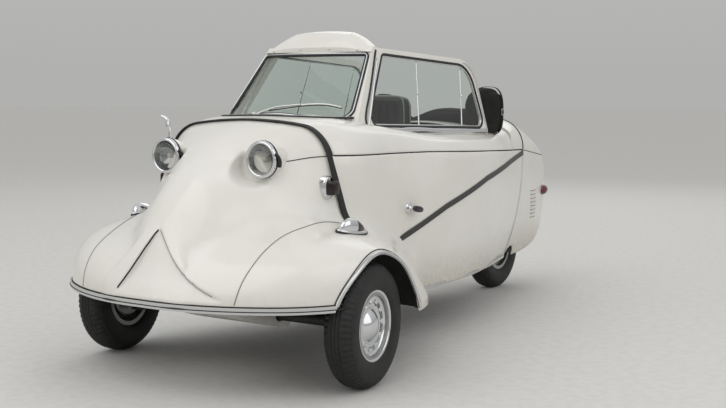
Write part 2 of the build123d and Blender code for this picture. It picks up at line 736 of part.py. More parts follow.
def lid_hinge(s):
    """Fixed half and lid half of one hinge on the right-hand waist, with the pin on the fixed half."""
    x, z = LID_HINGE_X, LID_HINGE_Z
    base = rod_y(HINGE_BARREL_RADIUS, s - 30, s - 0.5, x, z)
    base += box(x - 3, x + 40, s - 30, s - 0.5, z - 16, z - 12)
    base += box(x - 3, x + 3, s - 30, s - 0.5, z - 16, z)
    base += rod_y(HINGE_PIN_RADIUS, s - 20, s + 20, x, z)
    leaf = rod_y(HINGE_BARREL_RADIUS, s + 0.5, s + 30, x, z)
    leaf += box(x - 3, x + 40, s + 0.5, s + 30, z + 12, z + 16)
    leaf += box(x - 3, x + 3, s + 0.5, s + 30, z, z + 16)
    leaf -= rod_y(HINGE_PIN_RADIUS + AXLE_RUNNING_GAP, s, s + 21, x, z)
    return base, leaf


def tail_hinge():
    """Fixed half and cover half of the left-hand tail hinge, with the pin on the fixed half."""
    x, z, s = TAIL_HINGE_X, TAIL_HINGE_Z, TAIL_STATION
    r = HINGE_BARREL_RADIUS
    plate = 4.0
    base = rod_x(r, x - 20, x - 0.5, s, z)
    base += box(x - 20, x - 0.5, s - 40, s, z - r, z - r + plate)
    base += box(x - 20, x - 0.5, s - 40, s - 30, z - 30, z - r + plate)
    base += rod_x(HINGE_PIN_RADIUS, x - 12, x + 14, s, z)
    leaf = rod_x(r, x + 0.5, x + 20, s, z)
    leaf += box(x + 0.5, x + 20, s, s + 40, z - r, z - r + plate)
    leaf += box(x + 0.5, x + 20, s + 30, s + 40, z - 40, z - r + plate)
    leaf -= rod_x(HINGE_PIN_RADIUS + AXLE_RUNNING_GAP, x, x + 15, s, z)
    return base, leaf


def lock_handle():
    """Round escutcheon and short lever of the lid lock on the left flank."""
    s, z = HANDLE_STATION, HANDLE_Z
    x = hull_x(s, z)
    plate = rod_x(17, x - 6, x + 5, s, z)
    lever = rod_x(7, x, x + 16, s, z) + box(x + 10, x + 18, s - 8, s + 50, z - 6, z + 6)
    return plate + lever


def build():
    """Every piece by its node name, in station coordinates."""
    nodes = {}
    outer = body_loft()
    wall_rows = BODY_SECTIONS[2:]
    grown = body_loft(-TRIM_PROUD)
    houses = both_sides(box(WHEEL_HOUSE_X, 720, WHEEL_HOUSE_FRONT, WHEEL_HOUSE_REAR, 0, WHEEL_HOUSE_TOP))
    house_walls = both_sides(
        box(
            WHEEL_HOUSE_X - BODY_WALL, 720, WHEEL_HOUSE_FRONT - BODY_WALL,
            WHEEL_HOUSE_REAR + BODY_WALL, 0, WHEEL_HOUSE_TOP + BODY_WALL,
        )
    )
    cabin_space = body_loft(BODY_WALL, wall_rows)
    cabin_space = cabin_space & box(-700, 700, NOSE_WALL_STATION, BULKHEAD_STATION, 0, 1300)
    bay_space = body_loft(BODY_WALL, wall_rows, ENGINE_BAY_DROP)
    bay_space = bay_space & box(-700, 700, BULKHEAD_STATION + BODY_WALL, 2500, 0, 1300)
    notch = rod_x(NOTCH_RADIUS, -400, 400, NOTCH_STATION, NOTCH_HEIGHT)
    shell = outer - houses - (cabin_space - house_walls) - bay_space - notch

    def waist_prism(lift, top):
        points = [(s, z + lift) for s, z in [(-600, 760)] + WAIST_LINE + [TAIL_WAIST_END]]
        return side_prism(points + [(TAIL_END_STATION, top), (-600, top)], -700, 700)

    below_waist = waist_prism(0, 0)
    above_waist = waist_prism(0, 1300)
    above_gap = waist_prism(SHUT_GAP, 1300)
    tail_gap = SHUT_GAP / 2
    nose_panel = shell & box(-700, 700, -600, HOOP_STATION, 0, 1300)
    tub = shell & box(-700, 700, HOOP_STATION, TAIL_STATION - tail_gap, 0, 1300) & below_waist
    rear_deck = shell & box(-700, 700, BULKHEAD_STATION, TAIL_STATION - tail_gap, 0, 1300) & above_waist
    tail_cover = shell & box(-700, 700, TAIL_STATION + tail_gap, 2500, 0, 1300)
    lid_zone = box(-700, 700, HOOP_STATION + SHUT_GAP, BULKHEAD_STATION - SHUT_GAP, 0, 1300)
    hole = COCKPIT_HOLE + [(-x, s) for x, s in reversed(COCKPIT_HOLE)] + [(0, COCKPIT_HOLE_FRONT)]
    hole_face = make_face(Polyline([(x, s, 650) for x, s in hole], close=True))
    lid_shell = (shell & lid_zone & above_gap) - extrude(hole_face, amount=500, dir=(0, 0, 1))

    dome = dome_loft()
    arch = rod_x(ARCH_RADIUS, ARCH_INNER_X, 720, ARCH_STATION, ARCH_HEIGHT)
    front_open = box(-720, 720, -600, ARCH_STATION, 0, APRON_BOTTOM)
    fender = (dome & box(0, 720, -600, 800, 0, 800)) - outer
    fender = largest(fender - dome_loft(FENDER_WALL, 60) - arch - front_open, 1e5)
    nodes["fender_left"] = fender
    nodes["fender_right"] = mirror(fender, about=Plane.YZ)

    dome_grown = dome_loft(-TRIM_PROUD)
    ring = rod_x(ARCH_RADIUS + ARCH_TRIM_WIDTH, ARCH_INNER_X, 720, ARCH_STATION, ARCH_HEIGHT)
    ring = ring - rod_x(ARCH_RADIUS, ARCH_INNER_X - 10, 730, ARCH_STATION, ARCH_HEIGHT)
    arch_trim = (dome_grown - dome) & ring & box(ARCH_INNER_X, 720, -600, 600, ARCH_TRIM_FOOT, 700)
    nodes["arch_trims"] = both_sides(largest(arch_trim))

    apron = extrude(dome_face(APRON_STRIP_LOW, -APRON_STRIP_PROUD), APRON_STRIP_HEIGHT)
    apron = apron - dome - outer - both_sides(arch) - both_sides(ring)
    apron = apron & box(-720, 720, -600, APRON_STRIP_END, 0, 700)
    nodes["apron_trim"] = largest(apron)

    hoop = (grown - outer) & box(-700, 700, HOOP_STATION - HOOP_WIDTH, HOOP_STATION, 400, 1300)
    nodes["hoop_trim"] = largest(hoop - dome)

    low = [(s, z - FLANK_STRIP_HALF) for s, z in FLANK_STRIP]
    high = [(s, z + FLANK_STRIP_HALF) for s, z in reversed(FLANK_STRIP)]
    strip = (grown - outer) & side_prism(low + high, 100, 600)
    nodes["flank_strips"] = both_sides(largest(strip))
    nodes["sill_trims"] = both_sides(largest(sill_trim() - outer))

    lamps = both_sides(headlamp(1)) - outer
    nodes["headlamps"] = largest(lamps)
    nodes["headlamp_lenses"] = largest(both_sides(headlamp_lens(1)) - outer)
    nodes["fender_lamps"] = both_sides(largest(fender_lamp() - dome))
    nodes["side_lamps"] = largest(both_sides(side_lamp()) - outer - hoop)

    stalk = FilletPolyline((-196, -105, 795), (-218, -98, 838), (-262, -72, 866), radius=30)
    mirror_arm = sweep(Plane(origin=stalk @ 0, z_dir=stalk % 0) * Circle(5), path=stalk)
    mirror_head = Pos(-268, -68, 870) * Rot(0, 0, 35) * Rot(90, 0, 0) * Cylinder(34, 9)
    nodes["mirror"] = largest((mirror_arm + mirror_head) - outer - nodes["headlamps"])

    tray = side_prism(UNDERTRAY, -UNDERTRAY_HALF, UNDERTRAY_HALF)
    tray = tray - side_prism([(-262, 300), (-262, 248), (50, 155), (52, 155), (52, 300)], -196, 196)
    tray = tray - rod_x(AXLE_TUBE_RADIUS + 5, -300, 300, 0, WHEEL_HEIGHT) - outer
    nodes["front_undertray"] = largest(tray)

    cabin = body_loft(BODY_WALL, wall_rows)
    boss, boss_hole = column_bearing()
    dash = (cabin & box(-700, 700, DASH_STATION, DASH_STATION + DASH_WALL, 470, 730))
    upper = body_loft(BODY_WALL + 14, wall_rows)
    dash += upper & box(-700, 700, DASH_STATION, DASH_STATION + DASH_WALL, 725, 1000)
    dash += boss & box(-100, 100, DASH_STATION, 400, 400, 1000)
    nodes["dashboard"] = largest(dash - boss_hole)

    for name, outline, radii, half in (
        ("front_seat", FRONT_SEAT, FRONT_SEAT_RADII, 205.0),
        ("rear_seat", REAR_SEAT, REAR_SEAT_RADII, 215.0),
    ):
        nodes[name] = rounded_prism(outline, radii, "x", -half, 2 * half)
    legs = box(130, 150, 500, 900, 150, 300) + box(130, 150, 1150, 1540, 150, 300)
    nodes["seat_frames"] = largest(both_sides(legs) & cabin_space)

    nodes["front_axle"] = front_axle() - outer
    for side, word in ((1, "left"), (-1, "right")):
        at = Pos(side * TRACK / 2, 0, WHEEL_HEIGHT)
        for name, shape in (("tyre", tyre()), ("wheel", wheel()), ("hubcap", hubcap())):
            shape = at * (shape if side > 0 else mirror(shape, about=Plane.YZ))
            nodes[f"{name}_front_{word}"] = steered(shape, side)
        nodes[f"knuckle_{word}"] = knuckle(side)
    at = Pos(0, WHEELBASE, WHEEL_HEIGHT)
    nodes["tyre_rear"] = at * tyre()
    nodes["wheel_rear"] = at * wheel()
    nodes["tie_rod"] = tie_rod()
    nodes["steering_bar"] = steering_bar()

    inside = FORK_X - FORK_WALL / 2
    outside = FORK_X + FORK_WALL / 2
    arm = box(inside, outside, 1700, WHEELBASE, WHEEL_HEIGHT - 22, WHEEL_HEIGHT + 22)
    arm += rod_x(28, inside, outside, WHEELBASE, WHEEL_HEIGHT)
    fork = both_sides(arm) + rod_x(22, -FORK_X, FORK_X, 1700, WHEEL_HEIGHT)
    fork += both_sides(box(40, 86, BULKHEAD_STATION + BODY_WALL, 1712, WHEEL_HEIGHT - 20, ENGINE[4]))
    fork += rod_x(AXLE_RADIUS, -FORK_X, FORK_X, WHEELBASE, WHEEL_HEIGHT)
    for side in (-1, 1):
        collar_end = (HUB_OUTER if side > 0 else -HUB_INNER) + 2
        fork += rod_x(18, side * collar_end, side * inside, WHEELBASE, WHEEL_HEIGHT)
    nodes["rear_fork"] = fork
    x0, x1, s0, s1, z0, z1 = ENGINE
    nodes["engine"] = box(x0, x1, s0, s1, z0, z1)

    ring_filled = loft([canopy_face(CANOPY_BOTTOM), canopy_face(CANOPY_TOP)], ruled=True)
    wall = canopy_shell(0, CANOPY_WALL) - outer
    pane = canopy_shell(GLASS_INSET, GLASS_THICKNESS) - outer
    low, high = PILLAR_SPLIT
    ahead = side_prism([low, high, (high[0], 1300), (0, 1300), (0, 600), (low[0], 600)], -700, 700)
    windscreen_hole = rounded_prism(WINDSCREEN_OPENING, WINDSCREEN_RADII, "y", 0, 620)
    side_hole = rounded_prism(SIDE_OPENING, SIDE_OPENING_RADII, "x", 60, 400)
    side_frame = rounded_prism(SIDE_FRAME, SIDE_FRAME_RADII, "x", 60, 400)
    nodes["windscreen_frame"] = largest((wall & ahead) - windscreen_hole)
    nodes["windscreen_glass"] = largest(pane & windscreen_hole & ahead)
    nodes["side_frames"] = both_sides(largest((wall & side_frame) - ahead - side_hole))
    nodes["side_glass"] = both_sides(largest((pane & side_hole) - ahead))
    header = loft([header_face(s, w, HEADER_BASE, t) for s, w, t in HEADER_SECTIONS])
    header_space = loft(
        [
            header_face(s + HEADER_WALL, w - HEADER_WALL, HEADER_BASE - 20, t - HEADER_WALL)
            for s, w, t in HEADER_SECTIONS
        ]
    )
    header = header - header_space - ring_filled
    nodes["roof_header"] = largest(header, 1e5)
    hood = loft([header_face(s, w, base, t, HOOD_KNEE) for s, w, base, t in HOOD_SECTIONS])
    nodes["folded_hood"] = largest(hood - outer - nodes["side_frames"])

    pivot = rod_z(WIPER_PIVOT_RADIUS, 860, 893, WIPER_PIVOT[0], WIPER_PIVOT[1])
    arm_path = Line((WIPER_PIVOT[0], WIPER_PIVOT[1], 888), WIPER_TIP)
    wiper_arm = sweep(Plane(origin=arm_path @ 0, z_dir=arm_path % 0) * Circle(3), path=arm_path)
    nodes["wiper"] = largest((pivot + wiper_arm) - outer - nodes["windscreen_frame"])

    nodes["lid_shell"] = largest(lid_shell)
    nodes["nose_panel"] = largest(nose_panel)
    nodes["tub"] = largest(tub)
    nodes["rear_deck"] = largest(rear_deck)
    nodes["tail_cover"] = largest(tail_cover)

    base, leaf = lid_hinge(LID_HINGE_STATIONS[0])
    for s in LID_HINGE_STATIONS[1:]:
        more_base, more_leaf = lid_hinge(s)
        base += more_base
        leaf += more_leaf
    nodes["lid_hinge_base"] = largest(base - outer)
    nodes["lid_hinge_leaf"] = largest(leaf - outer)

    base, leaf = tail_hinge()
    nodes["tail_hinge_base"] = largest(both_sides(base) - outer)
    nodes["tail_hinge_leaf"] = largest(both_sides(leaf) - outer)

    lamp = Pos(TAIL_LAMP[0], TAIL_LAMP[1], TAIL_LAMP[2]) * spindle(92, 26)
    nodes["tail_lamps"] = largest(both_sides(lamp) - outer)
    nodes["lock_handle"] = lock_handle() - outer
    return nodes


if __name__ == "__main__":
    for name, shape in build().items():
        placed = Pos(0, FRONT_AXLE_Y, 0) * shape
        export_step(placed, f"parts/{name}.step")
        print(name, len(placed.solids()), round(placed.volume / 1000), placed.is_valid)
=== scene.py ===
# %% [markdown]
# # A tandem three-wheeler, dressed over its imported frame
# The frame holds every solid of the car at its real place. This scene gives the visible pieces their
# pressed-steel surfaces, glass, rubber, cloth and chrome. The tables are in millimetres, the frame is
# in metres, and the nose points to -Y.

# %% Load the frame
import bmesh
import bpy
import math
import numpy as np
from mathutils import Matrix, Vector


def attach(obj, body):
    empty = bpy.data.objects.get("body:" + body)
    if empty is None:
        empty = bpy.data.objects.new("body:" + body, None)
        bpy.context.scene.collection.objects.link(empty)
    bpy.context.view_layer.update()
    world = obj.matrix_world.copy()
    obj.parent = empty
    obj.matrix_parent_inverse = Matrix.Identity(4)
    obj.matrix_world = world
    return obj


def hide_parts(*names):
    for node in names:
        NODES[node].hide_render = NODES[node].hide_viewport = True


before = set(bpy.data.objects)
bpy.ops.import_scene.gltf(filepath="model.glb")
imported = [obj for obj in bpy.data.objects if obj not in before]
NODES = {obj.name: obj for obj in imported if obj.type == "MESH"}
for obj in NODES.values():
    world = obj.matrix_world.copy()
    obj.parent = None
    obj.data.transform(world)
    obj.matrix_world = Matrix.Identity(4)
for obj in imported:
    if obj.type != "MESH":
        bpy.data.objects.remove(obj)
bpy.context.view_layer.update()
FRONT_AXLE_Y = -0.940
MM = 0.001
SHEET = 4 * MM
SIDES = (("left", 1), ("right", -1))

# %% [markdown]
# ## Camera
# The photograph was taken from the car's left front, a little below roof height. The lens and the
# place come from the wheelbase, the track and the heights of the lamps, worked backwards.

# %% Camera at the photograph's viewpoint
def photo_camera(where, yaw, pitch, roll, lens):
    """A camera at a point. Yaw turns it from +Y towards -X, pitch tips it down, roll turns it about its
    own line of sight."""
    forward = Vector((-math.sin(yaw) * math.cos(pitch), math.cos(yaw) * math.cos(pitch), -math.sin(pitch)))
    level_right = Vector((math.cos(yaw), math.sin(yaw), 0.0))
    level_up = level_right.cross(forward)
    right = math.cos(roll) * level_right + math.sin(roll) * level_up
    up = math.cos(roll) * level_up - math.sin(roll) * level_right
    data = bpy.data.cameras.new("photo_camera")
    data.sensor_width = 36.0
    data.lens = lens
    camera = bpy.data.objects.new("photo_camera", data)
    bpy.context.scene.collection.objects.link(camera)
    turn = Matrix((right, up, -forward)).transposed().to_4x4()
    camera.matrix_world = Matrix.Translation(where) @ turn
    bpy.context.scene.camera = camera
    return camera


CAMERA_PLACE = (2.518, -3.091 + FRONT_AXLE_Y, 0.957)
YAW, PITCH, ROLL = (math.radians(angle) for angle in (32.7, 5.5, 0.21))
LENS_MM = 56.8
camera = photo_camera(CAMERA_PLACE, YAW, PITCH, ROLL, LENS_MM)
print("camera at", [round(v, 3) for v in camera.location])

# %% [markdown]
# ## Ways to make a material
# Each finish is one node tree. A small function adds a node with its settings and its links, so that
# a tree reads as a list of what feeds what.

# %% Colour and node helpers
def linear(code):
    """Linear RGBA of an sRGB hex colour."""
    channels = [int(code[i : i + 2], 16) / 255 for i in (1, 3, 5)]
    return tuple(c / 12.92 if c <= 0.04045 else ((c + 0.055) / 1.055) ** 2.4 for c in channels) + (1.0,)


def add(tree, kind, links=None, **settings):
    """Adds a node. links is {input socket: value or output socket}, and settings are its attributes."""
    node = tree.nodes.new(kind)
    for key, value in settings.items():
        setattr(node, key, value)
    for socket, value in (links or {}).items():
        if isinstance(value, bpy.types.NodeSocket):
            tree.links.new(value, node.inputs[socket])
        else:
            node.inputs[socket].default_value = value
    return node


def finish(name, base, **sockets):
    """A new material of one hex colour, with its shader's inputs set by name."""
    material = bpy.data.materials.new(name)
    material.use_nodes = True
    shader = material.node_tree.nodes["Principled BSDF"]
    shader.inputs["Base Color"].default_value = linear(base)
    for key, value in sockets.items():
        shader.inputs[key.replace("_", " ")].default_value = value
    material.diffuse_color = linear(base)
    return material


def surface(name, base, shade, patches, grain=None, **sockets):
    """A finish whose colour drifts from base to shade in patches, over a grain. patches is (size in mm,
    detail, noise where the drift starts, noise where it ends) and grain is (size in mm, detail, depth in
    mm, strength)."""
    material = finish(name, base, **sockets)
    tree = material.node_tree
    shader = tree.nodes["Principled BSDF"]
    where = add(tree, "ShaderNodeTexCoord").outputs["Object"]
    size, detail, start, end = patches
    cloud = add(tree, "ShaderNodeTexNoise", {"Vector": where, "Scale": 1000.0 / size, "Detail": detail})
    share = add(tree, "ShaderNodeMapRange", {"Value": cloud.outputs[0], "From Min": start, "From Max": end})
    tone = add(
        tree, "ShaderNodeMix", {"Factor": share.outputs[0], "A": linear(base), "B": linear(shade)}, data_type="RGBA"
    )
    tree.links.new(tone.outputs["Result"], shader.inputs["Base Color"])
    if grain:
        size, detail, depth, strength = grain
        fine = add(tree, "ShaderNodeTexNoise", {"Vector": where, "Scale": 1000.0 / size, "Detail": detail})
        relief = add(
            tree, "ShaderNodeBump", {"Height": fine.outputs[0], "Distance": depth / 1000.0, "Strength": strength}
        )
        tree.links.new(relief.outputs[0], shader.inputs["Normal"])
    return material


# %% [markdown]
# ## Finishes
# Nitro enamel sprayed on pressed steel is very smooth, with a faint orange peel and dust that settles
# low down. Chrome is a mirror with fine wipe marks. The soft top is a doubled cotton cloth, and the
# seats are grained leathercloth.

# %% Sprayed enamel
def enamel(name, base, shade):
    """Sprayed enamel: gloss under a clear coat, orange peel of about 3 mm, and road dust near the ground."""
    material = surface(name, base, shade, (260.0, 4.0, 0.35, 0.85), (3.0, 2.0, 0.05, 0.25), Roughness=0.32,
                       IOR=1.5, Coat_Weight=0.6, Coat_Roughness=0.08)
    tree = material.node_tree
    shader = tree.nodes["Principled BSDF"]
    clean = shader.inputs["Base Color"].links[0].from_socket
    where = add(tree, "ShaderNodeTexCoord").outputs["Object"]
    height = add(tree, "ShaderNodeSeparateXYZ", {0: where}).outputs[2]
    low = add(tree, "ShaderNodeMapRange", {"Value": height, "From Min": 0.36, "From Max": 0.18})
    speck = add(tree, "ShaderNodeTexNoise", {"Vector": where, "Scale": 1000.0 / 18.0, "Detail": 6.0})
    dusty = add(tree, "ShaderNodeMath", {0: low.outputs[0], 1: speck.outputs[0]}, operation="MULTIPLY")
    blend = add(
        tree, "ShaderNodeMix", {"Factor": dusty.outputs[0], "A": clean, "B": linear("#a89c86")}, data_type="RGBA"
    )
    dull = add(tree, "ShaderNodeMapRange", {"Value": dusty.outputs[0], "To Min": 0.30, "To Max": 0.62})
    tree.links.new(blend.outputs["Result"], shader.inputs["Base Color"])
    tree.links.new(dull.outputs[0], shader.inputs["Roughness"])
    return material


ENAMEL = enamel("ivory_enamel", "#e9e7e0", "#dfdcd3")
print("enamel ready")


# %% Metals
def bright_metal(name, base, roughness, smear=0.10):
    """Plated or polished metal. Wipe marks of about 12 mm in its roughness soften what it mirrors."""
    material = finish(name, base, Metallic=1.0, Roughness=roughness)
    tree = material.node_tree
    where = add(tree, "ShaderNodeTexCoord").outputs["Object"]
    wiped = add(tree, "ShaderNodeMapping", {"Vector": where, "Scale": (1.0, 1.0, 3.0)}).outputs[0]
    marks = add(tree, "ShaderNodeTexNoise", {"Vector": wiped, "Scale": 1000.0 / 12.0, "Detail": 5.0}).outputs[0]
    spread = add(
        tree, "ShaderNodeMapRange", {"Value": marks, "To Min": roughness * 0.7, "To Max": roughness + smear}
    )
    tree.links.new(spread.outputs[0], tree.nodes["Principled BSDF"].inputs["Roughness"])
    return material


def painted_steel(name, base, shade, roughness):
    """Brushed-on chassis paint with stone chips of about 6 mm, which break up its shine."""
    chips, relief = (6.0, 6.0, 0.55, 0.75), (6.0, 6.0, 0.3, 0.5)
    return surface(name, base, shade, chips, relief, Roughness=roughness, IOR=1.5)


CHROME = bright_metal("chrome_plate", "#dcdddf", 0.06)
ALUMINIUM = bright_metal("polished_aluminium_strip", "#d3d4d4", 0.20)
CHASSIS = painted_steel("chassis_paint", "#22221f", "#4a443a", 0.55)
DASH_PAINT = painted_steel("dashboard_paint", "#1d1d1e", "#2a2a2a", 0.45)
WHEEL_PAINT = bright_metal("wheel_silver_paint", "#a9aaa8", 0.38, 0.2)
# Painted light: the undertray's pale paint is raised to nearly white, which stands in for the sunlight falling on
# it.
UNDERTRAY_LIT = painted_steel("undertray_paint_with_painted_light", "#f2f0ea", "#dddbd4", 0.4)
CASTING = painted_steel("sand_cast_alloy", "#77756f", "#56544e", 0.6)
print("metals ready")


# %% Rubber, plastic and glass
def rubber(name, base, dusted, roughness):
    """Moulded rubber with a bloom of dust in patches of about 25 mm, which greys its black."""
    bloom, grain = (25.0, 5.0, 0.45, 0.8), (1.5, 2.0, 0.15, 0.4)
    return surface(name, base, dusted, bloom, grain, Roughness=roughness, IOR=1.52)


def clear_glass(name, tint, rough=0.0):
    """Thin glass: see-through, with a glint from its outer face that grows at a glancing view."""
    material = bpy.data.materials.new(name)
    material.use_nodes = True
    tree = material.node_tree
    tree.nodes.remove(tree.nodes["Principled BSDF"])
    clear = add(tree, "ShaderNodeBsdfTransparent", {"Color": linear(tint)})
    glint = add(tree, "ShaderNodeBsdfGlossy", {"Color": linear("#ffffff"), "Roughness": rough})
    fresnel = add(tree, "ShaderNodeFresnel", {"IOR": 1.38})
    side = add(tree, "ShaderNodeNewGeometry")
    outer = add(tree, "ShaderNodeMath", {0: 1.0, 1: side.outputs["Backfacing"]}, operation="SUBTRACT")
    share = add(tree, "ShaderNodeMath", {0: fresnel.outputs[0], 1: outer.outputs[0]}, operation="MULTIPLY")
    mixed = add(tree, "ShaderNodeMixShader", {0: share.outputs[0], 1: clear.outputs[0], 2: glint.outputs[0]})
    tree.links.new(mixed.outputs[0], tree.nodes["Material Output"].inputs[0])
    return material


TYRE = rubber("tyre_rubber", "#0f0f0f", "#201f1d", 0.6)
SEAL = rubber("seal_rubber", "#141414", "#1f1f1f", 0.5)
DARK_STRIP = rubber("dark_flank_strip", "#242324", "#2e2c2b", 0.4)
WINDOW = clear_glass("window_glass", "#f6faf8")
LAMP_GLASS = clear_glass("lamp_glass", "#f4f4f2", 0.08)
RED_LENS = finish("red_lamp_lens", "#5c0a0c", Roughness=0.12, Coat_Weight=0.7)
print("rubber and glass ready")

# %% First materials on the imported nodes
def paint(nodes, material):
    """Puts one material on whole CAD nodes."""
    for name in nodes:
        data = NODES[name].data
        data.materials.clear()
        data.materials.append(material)


paint(["windscreen_frame", "side_frames", "roof_header"], ENAMEL)
paint(["headlamps", "fender_lamps", "mirror", "lock_handle", "lid_hinge_base", "lid_hinge_leaf",
       "tail_hinge_base", "tail_hinge_leaf", "hubcap_front_left", "hubcap_front_right"], CHROME)
paint(["apron_trim", "arch_trims", "sill_trims", "wiper"], ALUMINIUM)
paint(["hoop_trim", "flank_strips"], DARK_STRIP)
paint(["windscreen_glass", "side_glass"], WINDOW)
paint(["headlamp_lenses"], LAMP_GLASS)
paint(["side_lamps", "tail_lamps"], RED_LENS)
paint(["tyre_front_left", "tyre_front_right", "tyre_rear"], TYRE)
paint(["wheel_front_left", "wheel_front_right", "wheel_rear"], WHEEL_PAINT)
paint(["front_axle", "rear_fork", "knuckle_left", "knuckle_right", "tie_rod", "seat_frames",
       "steering_bar"], CHASSIS)
paint(["front_undertray"], UNDERTRAY_LIT)
paint(["dashboard"], DASH_PAINT)
paint(["engine"], CASTING)
paint(["front_seat", "rear_seat", "folded_hood"], SEAL)

# %% [markdown]
# ## Surfaces from arrays
# Every new piece is a grid of points worked out as whole numpy arrays. One function turns such a grid
# into a mesh; another carries a round profile along a path for beads, seams and rods.

# %% Grid surfaces and beads
def mesh_piece(name, points, faces, material, body, smooth=True):
    """A piece from (n, 3) points and (m, 4) faces, with doubled points merged and normals made outward."""
    mesh = bpy.data.meshes.new(name)
    points = np.asarray(points, float).reshape(-1, 3).tolist()
    mesh.from_pydata(points, [], [list(map(int, f)) for f in faces])
    mesh.validate()
    edit = bmesh.new()
    edit.from_mesh(mesh)
    bmesh.ops.remove_doubles(edit, verts=edit.verts, dist=1e-6)
    bmesh.ops.dissolve_degenerate(edit, edges=edit.edges, dist=1e-7)
    bmesh.ops.recalc_face_normals(edit, faces=edit.faces)
    edit.to_mesh(mesh)
    edit.free()
    mesh.polygons.foreach_set("use_smooth", np.full(len(mesh.polygons), smooth))
    mesh.materials.append(material)
    piece = bpy.data.objects.new(name, mesh)
    bpy.context.scene.collection.objects.link(piece)
    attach(piece, body)
    return piece


def grid_faces(rows, columns, close_rows=False, close_columns=False, start=0):
    """Quads of a grid of rows x columns points; a closed direction joins its last line to its first."""
    r = np.arange(rows if close_rows else rows - 1)
    c = np.arange(columns if close_columns else columns - 1)
    r, c = np.meshgrid(r, c, indexing="ij")
    r2, c2 = (r + 1) % rows, (c + 1) % columns
    quads = np.stack([r * columns + c, r2 * columns + c, r2 * columns + c2, r * columns + c2], -1)
    return quads.reshape(-1, 4) + start


def wall(piece, thickness, offset=-1.0):
    """Gives a sheet its thickness, inwards unless offset says otherwise."""
    modifier = piece.modifiers.new("wall", "SOLIDIFY")
    modifier.thickness = thickness
    modifier.offset = offset
    return piece


def resample(curves, count):
    """Points at equal arc lengths along each of many curves (rows, points, dims), all rows at once."""
    steps = np.linalg.norm(np.diff(curves, axis=1), axis=2)
    run = np.concatenate([np.zeros((len(curves), 1)), np.cumsum(steps, axis=1)], axis=1)
    run /= run[:, -1:]
    rows = 2.0 * np.arange(len(curves))[:, None]
    at = (np.linspace(0, 1, count)[None, :] + rows).ravel()
    flat = (run + rows).ravel()
    dims = [np.interp(at, flat, curves[..., d].ravel()) for d in range(curves.shape[2])]
    return np.stack(dims, -1).reshape(len(curves), count, -1)


def bead(name, path, radius, material, body, sides=10, closed=False, flat=1.0, normal=(0.0, 0.0, 1.0)):
    """A round bead: circles carried along a path (n, 3), or ovals where flat is under 1, each across the
    path's tangent with its short axis along the normal. radius and normal are one for the whole path or
    one for each point."""
    path = np.asarray(path, float)
    if closed:
        tangent = np.roll(path, -1, 0) - np.roll(path, 1, 0)
    else:
        tangent = np.gradient(path, axis=0)
    tangent /= np.linalg.norm(tangent, axis=1, keepdims=True)
    guide = np.broadcast_to(np.asarray(normal, float), path.shape)
    guide = np.where(np.abs((guide * tangent).sum(1, keepdims=True)) > 0.98, guide[:, [1, 2, 0]], guide)
    side = np.cross(tangent, guide)
    side /= np.linalg.norm(side, axis=1, keepdims=True)
    up = np.cross(side, tangent)
    angle = np.linspace(0, 2 * np.pi, sides, endpoint=False)
    radius = np.broadcast_to(radius, len(path))[:, None, None]
    ring = (
        path[:, None]
        + radius * np.cos(angle)[None, :, None] * side[:, None]
        + flat * radius * np.sin(angle)[None, :, None] * up[:, None]
    )
    faces = list(grid_faces(len(path), sides, close_rows=closed, close_columns=True))
    if not closed:
        last = (len(path) - 1) * sides
        faces += [range(sides), range(last, last + sides)]
    return mesh_piece(name, ring, faces, material, body)


# %% [markdown]
# ## The body's own curves
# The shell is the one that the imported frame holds: cross-sections of a crown arc, a shoulder arc and a
# flank arc every few hundred millimetres, faired lengthwise by a cubic curve, and a dome over both
# front wheels drawn as level outlines of arcs. Here they are worked out as tables so that each panel
# can be asked for any point of the surface, and pressed panels can flow into each other.

# %% Body and dome as tables
# Columns: station, crown height, crown radius, half width, height of the widest point, flank radius,
# shoulder radius, underside height. All in millimetres behind the front axle.
BODY_SECTIONS = np.array([
    (-462, 325, 900, 140, 300, 100, 15, 285),
    (-440, 392, 420, 200, 305, 220, 50, 283),
    (-380, 518, 250, 204, 205, 400, 100, 278),
    (-300, 628, 300, 241, 272, 430, 110, 268),
    (-200, 716, 400, 303, 236, 620, 140, 258),
    (-100, 793, 360, 331, 330, 640, 60, 248),
    (0, 840, 770, 343, 440, 740, 90, 240),
    (90, 864, 1900, 362, 560, 1800, 140, 232),
    (400, 885, 1500, 398, 530, 1300, 150, 214),
    (800, 836, 1500, 404, 540, 1200, 120, 205),
    (1200, 832, 1200, 378, 570, 1150, 120, 199),
    (1500, 850, 700, 322, 600, 1150, 130, 192),
    (1850, 855, 480, 240, 640, 1150, 130, 180),
    (2100, 786, 340, 194, 600, 1300, 100, 188),
    (2250, 726, 240, 164, 560, 1500, 80, 232),
    (2350, 660, 150, 132, 500, 1000, 60, 290),
], float)
HOOP, TAIL, TAIL_END, BULKHEAD = 90.0, 1850.0, 2350.0, 1640.0
ARCH_S, ARCH_Z, ARCH_R = 24.0, 208.0, 233.0
APRON_Z = 288.0
NOSE_TIP, HOOP_CROWN = -462.0, 864.0
HALF_GAP = 2.5
ARC_POINTS = 60


